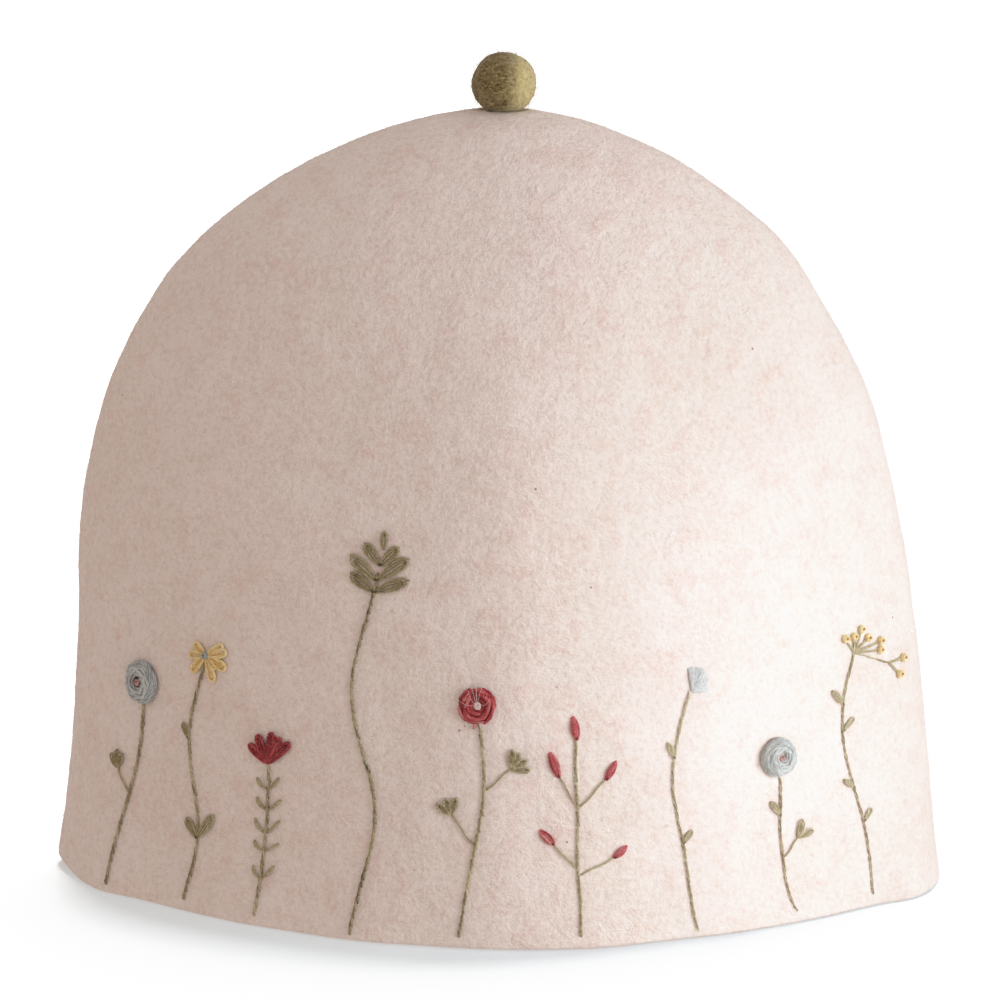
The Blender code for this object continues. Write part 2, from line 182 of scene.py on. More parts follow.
def bumpOn(tree, shader, height, strength, distance):
    bump = outOf(tree, "ShaderNodeBump", {"Height": height, "Strength": strength, "Distance": distance})
    tree.links.new(bump, shader["Normal"])


# patch, cloud, clump and fibre are how fine each size of the wool's unevenness is. pinker, greyer
# and paler are how strongly it shows, and the higher fleck is, the rarer the specks are.
feltLook = {
    "wool": (0.800, 0.706, 0.660), "paleWool": (0.895, 0.845, 0.820), "pinkWool": (0.780, 0.610, 0.570),
    "greyWool": (0.640, 0.525, 0.455), "tip": (0.895, 0.845, 0.820), "speck": (0.42, 0.27, 0.24),
    "fleck": 0.715, "pinker": 0.736, "greyer": 0.546, "paler": 0.63, "sheen": 0.25, "bump": 0.95,
    "patch": 40.0, "cloud": 115.0, "clump": 620.0, "fibre": 1300.0,
}
# for the ball, wool is the colour of its painted shaded side and paleWool that of its painted lit side and of
# its pale fibres
ballLook = {
    "wool": (0.112, 0.071, 0.023), "paleWool": (0.76, 0.66, 0.34), "pinkWool": (0.24, 0.155, 0.052),
    "greyWool": (0.050, 0.034, 0.012), "tip": (0.40, 0.315, 0.135), "speck": (0.04, 0.025, 0.015),
    "fleck": 0.60, "pinker": 0.64, "greyer": 0.78, "paler": 0.90, "sheen": 0.35, "bump": 0.9,
    "patch": 160.0, "cloud": 330.0, "clump": 1500.0, "fibre": 1700.0,
}


def makeWool(name, look, litSideFrom=None):
    # litSideFrom gives two places along X, between which the wool turns paler: painted light on the side
    # towards the key light, and painted shade on the other side
    material, tree, shader = startMaterial(name, {
        "Roughness": 0.95, "Specular IOR Level": 0.12, "Sheen Weight": look["sheen"],
        "Sheen Roughness": 0.45})
    place = placeOf(tree)
    patch = noiseOf(tree, place, look["patch"], 2.0)
    cloud = noiseOf(tree, place, look["cloud"], 4.0, 0.65, 0.4)
    clump = noiseOf(tree, place, look["clump"], 2.6, 0.80, 0.15)
    # fibres that cross: thin bands of noise drawn out in three directions
    nap = 0.0
    for turn, lean in ((0.5, 0.3), (-0.7, 0.9), (1.3, -0.4)):
        along = outOf(tree, "ShaderNodeMapping", {
            "Vector": place, "Rotation": (lean, turn, turn * 0.5), "Scale": (0.16, 1.0, 1.0)})
        thin = noiseOf(tree, along, look["fibre"], 2.0, 0.5, 1.4)
        nap = reckon(tree, "MAXIMUM", nap, spanOf(tree, thin, 0.55, 0.68))
    # specks: the middles of a few cells
    cells = outOf(tree, "ShaderNodeTexVoronoi", {"Vector": place, "Scale": look["patch"] * 4.2})
    few = noiseOf(tree, place, look["patch"] * 4.0, 0.0)
    speck = times(tree, spanOf(tree, cells, 0.085, 0.05),
                  spanOf(tree, few, look["fleck"], look["fleck"] + 0.03))

    wool = blendOf(tree, spanOf(tree, patch, 0.36, 0.68, (0.1, 0.5)), look["wool"], look["paleWool"])
    # painted light and shade: across X the wool turns from its shaded colour to its lit one, along a ragged
    # edge
    if litSideFrom:
        across = outOf(tree, "ShaderNodeSeparateXYZ", {0: place})
        raggedLitEdge = plus(tree, spanOf(tree, across, *litSideFrom),
                      spanOf(tree, cloud, 0.3, 0.7, (-0.35, 0.35)))
        side = outOf(tree, "ShaderNodeClamp", {0: raggedLitEdge})
        wool = blendOf(tree, side, look["wool"], look["paleWool"])
    for share, colour in (
            (spanOf(tree, cloud, 0.50, 0.68, (0.0, look["pinker"])), "pinkWool"),
            (times(tree, nap, 0.50), "paleWool"),
            (spanOf(tree, clump, 0.50, 0.26, (0.0, look["greyer"])), "greyWool"),
            (spanOf(tree, clump, 0.50, 0.72, (0.0, look["paler"])), "tip"), (speck, "speck")):
        wool = blendOf(tree, share, wool, look[colour])
    tree.links.new(wool, shader["Base Color"])

    height = times(tree, cloud, 1.3)
    for layer, share in ((clump, 0.45), (nap, 0.05)):
        height = plus(tree, height, times(tree, layer, share))
    bumpOn(tree, shader, height, look["bump"], 0.0008)
    return material


# grain is the size of the fine streaks in a thread, which along and round draw out, and paintedShade and
# paler are how strong they are: its dark streaks are painted shade and its pale ones painted highlights,
# for the shine and shade of the twisted plies, and the same streaks make its bumps
threadLook = {"along": 420.0, "round": 2.6, "grain": 1.6, "mottle": 900.0, "uneven": 0.05, "paintedShade": 0.62,
              "shadeTint": (0.45, 0.42, 0.40), "paler": 0.58, "highlightTint": (1.0, 0.97, 0.92), "bump": 0.5}


def makeThread(name, stops):
    # dye picks the colour along the stops, around and along follow the strand
    look = threadLook
    material, tree, shader = startMaterial(name, {
        "Roughness": 0.72, "Specular IOR Level": 0.3, "Sheen Weight": 0.3, "Sheen Roughness": 0.4})
    dye, along, around = (outOf(tree, "ShaderNodeAttribute", out=out, attribute_name=label)
                          for label, out in (("dye", "Fac"), ("along", "Fac"), ("around", "Vector")))
    drawn = outOf(tree, "ShaderNodeCombineXYZ", {"Z": times(tree, along, look["along"])})
    drawn = reckonVector(tree, "ADD", scaled(tree, around, look["round"]), drawn)
    grain = noiseOf(tree, drawn, look["grain"], 3.0, 0.65)
    mottle = noiseOf(tree, placeOf(tree), look["mottle"], 2.0)
    colour = rampOf(tree, plus(tree, dye, spanOf(tree, mottle, 0.3, 0.7, (-look["uneven"], look["uneven"]))),
                    stops)
    # painted shade and painted highlights: a darkened and a whitened copy of the thread's colour, laid on
    # along its streaks
    shadedColour = blendOf(tree, 1.0, colour, look["shadeTint"], mode="MULTIPLY")
    highlitColour = blendOf(tree, 0.45, colour, look["highlightTint"])
    withPaintedLight = blendOf(tree, spanOf(tree, grain, 0.60, 0.36, (0.0, look["paintedShade"])), colour, shadedColour)
    withPaintedLight = blendOf(tree, spanOf(tree, grain, 0.54, 0.72, (0.0, look["paler"])), withPaintedLight, highlitColour)
    tree.links.new(withPaintedLight, shader["Base Color"])
    bumpOn(tree, shader, grain, look["bump"], 0.00012)
    return material


def makeHair(name, root, tip):
    material, tree, shader = startMaterial(name, {
        "Roughness": 0.7, "Specular IOR Level": 0.2, "Sheen Weight": 0.3})
    kink = outOf(tree, "ShaderNodeAttribute", out="Fac", attribute_name="kink")
    tree.links.new(rampOf(tree, kink, [(0.0, root), (1.0, tip)]), shader["Base Color"])
    return material


print("materials")
blushWool = makeWool("blushWool", feltLook)
# the ball's wool is painted lit on its right side and painted shaded on its left
oliveWool = makeWool("oliveWool", ballLook, (0.0015, 0.0075))
blushHair = makeHair("blushHair", (0.94, 0.88, 0.85), (1.0, 0.97, 0.95))
oliveHair = makeHair("oliveHair", (0.16, 0.105, 0.038), (0.50, 0.41, 0.19))
# each thread's colours along its dye, by the slot that it fills
threads = {slotName: makeThread(name, stops) for slotName, name, stops in (
    ("green_thread", "oliveThread", (
        # the darkest olive, at dye 0, is painted shade for the holes that threads go down
        (0.0, (0.075, 0.060, 0.030)), (0.12, (0.265, 0.208, 0.095)), (0.5, (0.46, 0.402, 0.224)),
        (1.0, (0.76, 0.71, 0.50)))),
    ("red_thread", "roseThread", (
        (0.0, (0.070, 0.010, 0.012)), (0.12, (0.20, 0.014, 0.018)), (0.30, (0.33, 0.022, 0.028)),
        (0.5, (0.55, 0.070, 0.085)), (0.7, (0.76, 0.26, 0.27)), (0.9, (0.92, 0.76, 0.73)))),
    ("blue_thread", "slateThread", (
        (0.0, (0.26, 0.29, 0.31)), (0.4, (0.54, 0.590, 0.595)), (0.7, (0.82, 0.88, 0.88)),
        (0.86, (0.74, 0.36, 0.35)), (1.0, (0.40, 0.10, 0.10)))),
    ("yellow_thread", "goldThread", (
        (0.0, (0.60, 0.24, 0.045)), (0.3, (0.80, 0.44, 0.110)), (0.5, (1.0, 0.73, 0.28)),
        (0.75, (1.0, 0.89, 0.54)), (0.88, (0.42, 0.44, 0.44)))))}


# The felt body. Each section has its share of the body's height, its reach to the left, right,
# front and back as shares of half the hem, and a pinch, 0 for an oval and more for a lens.

feltForm = {
    "hemWidth": 0.280, "hemDepth": 0.156, "bodyHeight": 0.2425, "thickness": 0.004,
    "hemRounding": 0.0011, "frontColumns": 250, "backColumns": 110,
    "lowRows": 80, "highRows": 62, "innerRows": 30, "rowChange": 0.125, "rowSpread": 0.4,
    "sections": (
        (0.000, 1.012, 0.996, 0.990, 1.000, 0.58),
        (0.055, 0.998, 0.982, 0.987, 0.994, 0.58),
        (0.165, 0.974, 0.962, 0.976, 0.972, 0.58),
        (0.320, 0.953, 0.932, 0.932, 0.925, 0.57),
        (0.435, 0.947, 0.903, 0.886, 0.876, 0.56),
        (0.537, 0.922, 0.864, 0.828, 0.816, 0.54),
        (0.640, 0.874, 0.812, 0.756, 0.745, 0.50),
        (0.744, 0.785, 0.722, 0.660, 0.652, 0.42),
        (0.822, 0.686, 0.634, 0.566, 0.562, 0.32),
        (0.888, 0.545, 0.512, 0.450, 0.450, 0.20),
        (0.945, 0.372, 0.357, 0.312, 0.312, 0.08),
        (0.984, 0.195, 0.192, 0.170, 0.170, 0.00),
        (1.000, 0.000, 0.000, 0.000, 0.000, 0.00),
    ),
    # side, across, up, wide, tall, lean in degrees, rise
    "swells": (
        ("front", 0.014, 0.090, 0.048, 0.120, 5, 0.0052),
        ("front", 0.052, 0.158, 0.024, 0.060, 18, -0.0022),
        ("front", -0.062, 0.150, 0.040, 0.055, -24, -0.0018),
        ("back", -0.012, 0.085, 0.038, 0.110, 5, 0.0034),
        ("back", -0.058, 0.140, 0.030, 0.065, -16, -0.0020),
        ("back", 0.064, 0.120, 0.036, 0.060, 20, -0.0018),
    ),
    # the hem's waves, each with how many go round, a phase and a share of hemWave, and the height
    # over which they fade
    "hemWave": 0.0005, "waves": ((9, 0.7, 1.0), (14, 2.1, 0.7), (23, 0.0, 0.5)), "waveFade": 0.016,
    # where a fold meets the hem: across, lift, width
    "corners": ((-0.1415, 0.0026, 0.0065), (0.1395, 0.0004, 0.0060)), "hemLift": 0.0002, "liftFade": 0.02,
    # fuller places by the hem: across, width, height, rise
    "fuller": ((0.133, 0.009, 0.045, 0.0062), (-0.124, 0.012, 0.040, 0.0040)),
    # the felt wanders less towards the table, and less inside than outside
    "stillHeight": 0.007, "insideShare": -0.6,
}


def denseSections(stepsEach=24, below=0.008):
    # A smooth curve through the sections, with a row under the hem and one over the crown to guide it
    rows = np.array(feltForm["sections"], float)
    share = below / feltForm["bodyHeight"] / rows[1][0]
    rows = np.vstack([rows[0] - (rows[1] - rows[0]) * share, rows, rows[-2] * [1, -1, -1, -1, -1, 1]])
    lengths = np.linalg.norm(np.diff(rows[:, :5], axis=0), axis=1)
    at = np.concatenate([[0.0], np.cumsum(lengths)])
    slope = (rows[2:] - rows[:-2]) / (at[2:] - at[:-2])[:, None]
    slope = np.vstack([(rows[1] - rows[0]) / lengths[0], slope])
    dense = []
    for i in range(len(rows) - 2):
        span = at[i + 1] - at[i]
        for t in np.arange(stepsEach) / stepsEach:
            start = (1 + 2 * t) * (1 - t) ** 2 * rows[i] + t * (1 - t) ** 2 * span * slope[i]
            end = t * t * (3 - 2 * t) * rows[i + 1] + t * t * (t - 1) * span * slope[i + 1]
            dense.append(start + end)
    return np.array(dense + [rows[-2]])


def feltGrid(form, rows, turns):
    # Points of the outer face, one line of them for each row
    c, s = np.cos(turns)[None, :], np.sin(turns)[None, :]
    height, left, right, front, back, pinch = (rows[:, k][:, None] for k in range(6))
    x = form["hemWidth"] / 2 * np.where(c > 0, right, left) * c
    z = form["bodyHeight"] * height + 0 * c
    depth = form["hemDepth"] / 2 * np.where(s > 0, back, front)
    for side, across, up, wide, tall, lean, rise in form["swells"]:
        lean = math.radians(lean)
        dx, dz = x - across, z - up
        over = (dx * math.cos(lean) - dz * math.sin(lean)) / wide
        along = (dx * math.sin(lean) + dz * math.cos(lean)) / tall
        facing = (s > 0) if side == "back" else (s <= 0)
        depth = depth + facing * rise * np.exp(-over ** 2 - along ** 2)
    wave = sum(share * np.sin(count * turns + phase) for count, phase, share in form["waves"])
    depth = depth + form["hemWave"] * wave[None, :] * np.exp(-z / form["waveFade"])
    y = s * depth * (1 - pinch * (1 - np.abs(s)))
    for across, wide, tall, rise in form["fuller"]:
        near = np.exp(-((x - across) / wide) ** 2 - (z / tall) ** 2)
        y = y - (s < 0) * rise * np.minimum(1, -s / 0.2) * near
    lift = form["hemLift"] * (0.5 + 0.5 * np.sin(11 * turns + 4 * np.sin(2 * turns)))[None, :]
    for across, rise, wide in form["corners"]:
        lift = lift + rise * np.exp(-((x - across) / wide) ** 2)
    z = z + lift * np.clip(1 - z / form["liftFade"], 0, 1)
    return np.stack([x, y, z], axis=2)


def gridNormals(grid):
    aside = np.roll(grid, -1, axis=1) - np.roll(grid, 1, axis=1)
    normals = np.cross(aside, np.gradient(grid, axis=0))
    return normals / np.maximum(np.linalg.norm(normals, axis=2), 1e-12)[:, :, None]


def makeFeltMesh(form):
    # rows are spread by the way up the outline, closer below rowChange, where the stitches lie
    dense = denseSections()
    outline = np.stack([dense[:, 0] * form["bodyHeight"],
                        dense[:, 2] * form["hemWidth"] * form["rowSpread"]], axis=1)
    at = np.concatenate([[0], np.cumsum(np.linalg.norm(np.diff(outline, axis=0), axis=1))])
    rounding = form["hemRounding"]
    startAt = np.interp(rounding / form["bodyHeight"], dense[:, 0], at)
    changeAt = np.interp(form["rowChange"] / form["bodyHeight"], dense[:, 0], at)
    stops = np.concatenate([np.linspace(startAt, changeAt, form["lowRows"], endpoint=False),
                            np.linspace(changeAt, at[-1], form["highRows"] + 1)[:-1]])
    rows = np.stack([np.interp(stops, at, dense[:, k]) for k in range(6)], axis=1)
    turns = np.concatenate([np.linspace(0, math.pi, form["backColumns"], endpoint=False),
                            np.linspace(math.pi, 2 * math.pi, form["frontColumns"], endpoint=False)])
    outer = feltGrid(form, rows, turns)
    picked = np.unique(np.linspace(0, len(rows) - 2, form["innerRows"]).astype(int))
    inner = (outer - gridNormals(outer) * form["thickness"])[picked]
    inner[0, :, 2] = outer[0, :, 2]

    def looseAt(ring):
        return np.clip((ring[:, 2] - rounding) / form["stillHeight"], 0, 1)

    # rings go down the outside, round the hem and up the inside
    toInside = inner[0] - outer[0]
    toInside /= np.linalg.norm(toInside, axis=1)[:, None]
    rings = [*outer[::-1]]
    loose = [looseAt(ring) for ring in rings]
    quarter = (22.5, 45, 67.5, 90)
    for base, sign, order in ((outer[0], 1, quarter), (inner[0], -1, quarter[::-1])):
        for angle in order:
            angle = math.radians(angle)
            ring = base + sign * toInside * rounding * (1 - math.cos(angle))
            ring[:, 2] = base[:, 2] - rounding * math.sin(angle)
            rings.append(ring)
            loose.append(np.zeros(len(turns)))
    rings += [*inner]
    loose += [form["insideShare"] * looseAt(ring) for ring in inner]
    top = form["bodyHeight"]
    points = np.vstack(rings + [[(0, 0, top)], [(0, 0, top - form["thickness"])]])
    loose = np.concatenate(loose + [[1.0], [form["insideShare"]]])
    count, total = len(turns), len(rings)
    i = np.arange(count)
    j = (i + 1) % count
    last = (total - 1) * count
    quads = np.vstack([np.stack([r * count + i, (r + 1) * count + i, (r + 1) * count + j, r * count + j],
                                axis=1) for r in range(total - 1)])
    crown = np.stack([np.full(count, total * count), i, j], axis=1)
    ceiling = np.stack([np.full(count, total * count + 1), last + j, last + i], axis=1)
    mesh = bpy.data.meshes.new("feltBody")
    mesh.from_pydata(points.tolist(), [], quads.tolist() + crown.tolist() + ceiling.tolist())
    # loose says how far the felt may wander: 1 outside, under 0 inside, 0 where it stands
    mesh.attributes.new("loose", "FLOAT", "POINT").data.foreach_set("value", loose)
    return mesh


def makeLumpTree():
    tree, given = startTree("feltLumps", (
        "Lump size", "Lump height", "Hollow size", "Hollow height", "Grain"))
    place = outOf(tree, "GeometryNodeInputPosition")
    total = 0.0
    for kind, detail in (("Lump", 2.0), ("Hollow", 1.0)):
        noise = outOf(tree, "ShaderNodeTexNoise", {
            "Vector": place, "W": given["Grain"], "Detail": detail, "Roughness": 0.5, "Distortion": 0.3,
            "Scale": reckon(tree, "DIVIDE", 1.0, given[kind + " size"])}, noise_dimensions="4D")
        swing = times(tree, reckon(tree, "SUBTRACT", noise, 0.5), 2.0)
        total = plus(tree, total, times(tree, swing, given[kind + " height"]))
    amount = times(tree, total, reckon(tree, "ABSOLUTE", readOf(tree, "loose")))
    offset = scaled(tree, outOf(tree, "GeometryNodeInputNormal"), amount)
    moved = outOf(tree, "GeometryNodeSetPosition", {"Geometry": given["Geometry"], "Offset": offset})
    endTree(tree, moved, given["Material"])
    return tree


def numbersOf(rows, label, width=1):
    numbers = np.empty(len(rows) * width)
    rows.foreach_get(label, numbers)
    return numbers.reshape(-1, width) if width > 1 else numbers


def pointsOf(piece):
    return numbersOf(piece.data.vertices, "co", 3)


def movePoints(piece, points):
    piece.data.vertices.foreach_set("co", points.ravel())
    piece.data.update()


# The ball is a little flattened and sits a little to the right. Further down than under it bulges
# by slack at most, so it keeps to its seat.
ballForm = {"diameter": 0.020, "flat": 0.95, "aside": 0.0013, "sink": 0.0020, "gap": 0.0003, "cuts": 6,
            "under": 0.0052, "slack": 1.005, "dimple": (-0.0022, -0.0078, -0.0056), "dimpleSize": 0.0011,
            "dimpleShare": 0.11}
ballShape = np.array([1, 1, ballForm["flat"]]) * ballForm["diameter"] / 2
ballCentre = np.array([ballForm["aside"], 0, feltForm["bodyHeight"] + ballShape[2] - ballForm["sink"]])

print("felt body")
lumpTree = makeLumpTree()
feltBody = grow("feltBody", makeFeltMesh(feltForm), lumpTree, {
    "Lump size": 0.0085, "Lump height": 0.00034, "Hollow size": 0.030, "Hollow height": 0.0009,
    "Grain": 3.7, "Material": blushWool})

# the seat pressed into the crown by the ball
feltPoints = pointsOf(feltBody)
looseness = numbersOf(feltBody.data.attributes["loose"].data, "value")
fromBall = feltPoints - ballCentre
away = np.linalg.norm(fromBall / (ballShape + ballForm["gap"]), axis=1)
pressed = (away < 1) & (looseness > 0)
feltPoints[pressed] = ballCentre + fromBall[pressed] / away[pressed][:, None]
movePoints(feltBody, feltPoints)
feltTree = BVHTree.FromPolygons([Vector(p) for p in feltPoints],
                                [tuple(face.vertices) for face in feltBody.data.polygons])


# Paths on the felt: lists of a place and its normal

def frameAt(normal):
    level = Vector((0, 0, 1)).cross(normal).normalized()
    return level, normal.cross(level).normalized()


def frontPlace(across, up):
    return feltTree.ray_cast(Vector((across, -0.2, up)), Vector((0, 1, 0)))[0]


def centreOf(form):
    return frontPlace(form["across"], form["up"])


def smoothNormal(point, within=0.0022):
    total = Vector()
    for _, normal, _, _ in feltTree.find_nearest_range(point, within):
        total += normal
    return total.normalized()


def walkFelt(start, turnDeg, length, step=0.0006):
    # Over the felt in one direction: 0 is right and 90 up
    turn = math.radians(turnDeg)
    steps = max(4, round(length / step))
    path = [(start, smoothNormal(start))]
    for _ in range(steps):
        point, normal = path[-1]
        level, upward = frameAt(normal)
        ahead = (level * math.cos(turn) + upward * math.sin(turn)) * length / steps
        place = feltTree.find_nearest(point + ahead)[0]
        path.append((place, smoothNormal(place)))
    return path


def pathAt(path, t):
    # Place, normal and the way to the left at a share of the path, straight on past its ends
    spot = t * (len(path) - 1)
    i = min(max(int(math.floor(spot)), 0), len(path) - 2)
    place, normal = (first.lerp(second, spot - i) for first, second in zip(path[i], path[i + 1]))
    normal.normalize()
    along = (path[min(i + 3, len(path) - 1)][0] - path[max(i - 2, 0)][0]).normalized()
    return place, normal, normal.cross(along).normalized()


def layStrand(path, start, end, side, height, fat, dye, steps=14):
    # One thread along part of a path. side, height and fat are numbers, or functions of 0 to 1.
    side, height, fat = (value if callable(value) else lambda u, value=value: value
                         for value in (side, height, fat))
    points, fats = [], []
    for k in range(steps + 1):
        u = k / steps
        point, normal, sideways = pathAt(path, start + (end - start) * u)
        points.append(point + sideways * side(u) + normal * height(u))
        fats.append(fat(u))
    return {"points": points, "fats": fats, "dye": dye}


threadDip = 0.0003  # how far a thread's ends go down into the felt


def humpOf(height, dip=threadDip, sharp=0.45):
    # Out of its hole, over the felt and down again
    return lambda u: -dip + (height + dip) * max(0.0, math.sin(math.pi * u)) ** sharp


def bowOf(bend):
    return lambda u: bend * math.sin(math.pi * u)


def wobble(amount):
    return 1 + dice.uniform(-amount, amount)


# The thread itself: each line of points becomes a few plies twisted round it

def makeSpinTree():
    tree, given = startTree("spinThread", ("Ply radius", "Ply spread", "Twist length", "Step"),
                            ("Plies", "Sides"))
    lines = outOf(tree, "GeometryNodeMeshToCurve", {"Mesh": given["Geometry"]})
    lines = outOf(tree, "GeometryNodeResampleCurve", {"Curve": lines, "Length": given["Step"]},
                  mode="LENGTH")
    copies = addNode(tree, "GeometryNodeDuplicateElements", {
        "Geometry": lines, "Amount": given["Plies"]}, domain="SPLINE").outputs
    along = outOf(tree, "GeometryNodeSplineParameter", out="Length")
    fat = readOf(tree, "fat")
    share = reckon(tree, "DIVIDE", copies["Duplicate Index"], given["Plies"])
    turns = plus(tree, reckon(tree, "DIVIDE", along, given["Twist length"]), share)
    angle = times(tree, plus(tree, turns, readOf(tree, "phase")), 2 * math.pi)
    normal = outOf(tree, "GeometryNodeInputNormal")
    side = reckonVector(tree, "CROSS_PRODUCT", outOf(tree, "GeometryNodeInputTangent"), normal)
    out = reckonVector(tree, "ADD", scaled(tree, normal, reckon(tree, "COSINE", angle)),
                       scaled(tree, side, reckon(tree, "SINE", angle)))
    apart = scaled(tree, out, times(tree, given["Ply spread"], fat))
    moved = outOf(tree, "GeometryNodeSetPosition", {"Geometry": copies["Geometry"], "Offset": apart})
    ring = outOf(tree, "GeometryNodeCurvePrimitiveCircle", {
        "Resolution": given["Sides"], "Radius": given["Ply radius"]})
    spot = outOf(tree, "GeometryNodeInputPosition")
    ring = storeOn(tree, ring, "around", reckonVector(tree, "NORMALIZE", spot), "FLOAT_VECTOR")
    tube = outOf(tree, "GeometryNodeCurveToMesh", {
        "Curve": storeOn(tree, moved, "along", along), "Profile Curve": ring, "Scale": fat,
        "Fill Caps": True})
    endTree(tree, tube, given["Material"])
    return tree


spinTree = makeSpinTree()
strandPoints = []
embroidery = []


def spin(name, node, strands, yarn, slotName):
    points, edges, fats, dyes, phases = [], [], [], [], []
    for strand in strands:
        first = len(points)
        points += [tuple(p) for p in strand["points"]]
        edges += [(k, k + 1) for k in range(first, len(points) - 1)]
        fats += strand["fats"]
        dyes += [strand["dye"] + dice.uniform(-1, 1) * yarn["mottle"] for _ in strand["points"]]
        phases += [dice.random()] * len(strand["points"])
    mesh = bpy.data.meshes.new(name)
    mesh.from_pydata(points, edges, [])
    for label, values in (("fat", fats), ("dye", dyes), ("phase", phases)):
        mesh.attributes.new(label, "FLOAT", "POINT").data.foreach_set("value", values)
    strandPoints.extend(points)
    piece = grow(name, mesh, spinTree, {**yarn, "Sides": 6, "Material": threads[slotName]})
    wear(piece, slotName, node)
    embroidery.append(piece)


def yarnOf(*values):
    # mottle is how unevenly a yarn is dyed
    return dict(zip(("Plies", "Ply radius", "Ply spread", "Twist length", "Step", "mottle"), values))


# Stitches

stemYarn = yarnOf(3, 0.00020, 0.00021, 0.0028, 0.00034, 0.16)
stemStitch = {"pitch": 0.0026, "reach": 1.8, "slant": 0.00034, "height": 0.00050, "dip": 0.00045,
              "jitter": 0.08, "drift": 0.00010, "dye": (0.20, 0.78)}


def stemStitches(path, fat=1.0, slant=1.0):
    # Each stitch runs back over most of the last one, from its right side up to its left
    form = stemStitch
    strands = []
    count = max(2, round(sum((b[0] - a[0]).length for a, b in zip(path, path[1:])) / form["pitch"]))
    for k in range(-1, count):
        start = max(0.0, (k + dice.uniform(-form["jitter"], form["jitter"])) / count)
        end = min(1.0, (k + form["reach"] + dice.uniform(-form["jitter"], form["jitter"])) / count)
        if end - start < 0.5 / count:
            continue
        aside = form["slant"] * slant * wobble(0.3)
        drift = dice.uniform(-form["drift"], form["drift"])
        size = fat * wobble(0.12)
        strands.append(layStrand(
            path, start, end, lambda u: aside * (2 * u - 1) + drift,
            humpOf(form["height"] * fat * wobble(0.15), form["dip"]),
            lambda u: size * (0.66 + 0.34 * math.sin(math.pi * u) ** 0.6), dice.uniform(*form["dye"]), 12))
    return strands


def straightStitch(path, bend, fat, dye, height):
    size = fat * wobble(0.06)
    return [layStrand(path, 0.1, 1.0, bowOf(bend), humpOf(height),
                      lambda u: size * (0.70 + 0.40 * math.sin(math.pi * min(1, u) ** 1.5) ** 0.7), dye)]


# shares of a path's length, and of its loop's height, fatness and half width. The loop is widest
# at two thirds of its length, where its curve reaches crest.
loopForm = {"points": 40, "from": 0.03, "length": 0.93, "crest": 0.503, "rising": 0.12, "narrowest": 0.0002,
            "tie": (0.89, 1.03), "tieHeight": 1.7, "tieFat": 0.62, "tieShade": 0.2,
            "fill": (0.05, 0.86), "fillHeight": 1.2, "fillFat": 0.9, "fillApart": 0.62, "fillDye": 0.12}


def loopStitch(path, wide, fat, dye, fills=1, fillDye=None, yarnRadius=0.00040, tall=0.00042, tie=True):
    # A chain loop: out along one side and back along the other, held down at its blunt tip by a tie
    # dyed darker as painted shade of the hole there, and filled with straight stitches
    form = loopForm
    half = max(wide / 2 - yarnRadius * fat, form["narrowest"])
    points, fats = [], []
    for k in range(form["points"] + 1):
        turn = 2 * math.pi * k / form["points"]
        t = (1 - math.cos(turn)) / 2
        aside = math.copysign(half * t ** 0.75 * (1 - t) ** 0.35 / form["crest"], math.sin(turn))
        point, normal, sideways = pathAt(path, form["from"] + form["length"] * t)
        rise = -threadDip + (tall + threadDip) * min(1.0, t / form["rising"]) ** 0.6
        points.append(point + sideways * aside + normal * rise)
        fats.append(fat * (0.80 + 0.26 * t))
    strands = [{"points": points, "fats": fats, "dye": dye}]
    if tie:
        # the tie is dyed darker by tieShade: painted shade of the hole at the tip
        strands.append(layStrand(path, *form["tie"], 0.0, humpOf(tall * form["tieHeight"]),
                                 fat * form["tieFat"], dye - form["tieShade"], 8))
    start, end = form["fill"]
    for k in range(fills):
        aside = half * form["fillApart"] * (k - (fills - 1) / 2)
        strands.append(layStrand(
            path, start, end * wobble(0.05), lambda u: aside * math.sin(math.pi * min(1, 0.15 + u * 0.7)),
            humpOf(tall * form["fillHeight"]), fat * form["fillFat"],
            dye + dice.uniform(-form["fillDye"], form["fillDye"]) if fillDye is None else fillDye, 12))
    return strands


satinForm = {"height": 0.0008, "edge": 0.00036, "lower": 0.45}


def satinStitches(path, wide, count, fat, dye):
    # Side by side, lower towards the edges, and they meet at both ends
    strands = []
    middle = (count - 1) / 2
    for k in range(count):
        share = (k - middle) / middle
        aside = share * (wide / 2 - satinForm["edge"] * fat)
        crown = satinForm["height"] * (1 - satinForm["lower"] * share * share) * wobble(0.06)
        strands.append(layStrand(
            path, 0.0, 1.0 - 0.05 * abs(share) * wobble(0.5),
            lambda u: aside * math.sin(math.pi * (0.06 + 0.88 * u) ** 1.05) ** 0.8,
            humpOf(crown, sharp=0.4), fat * wobble(0.08), dye + dice.uniform(-0.1, 0.1), 16))
    return strands


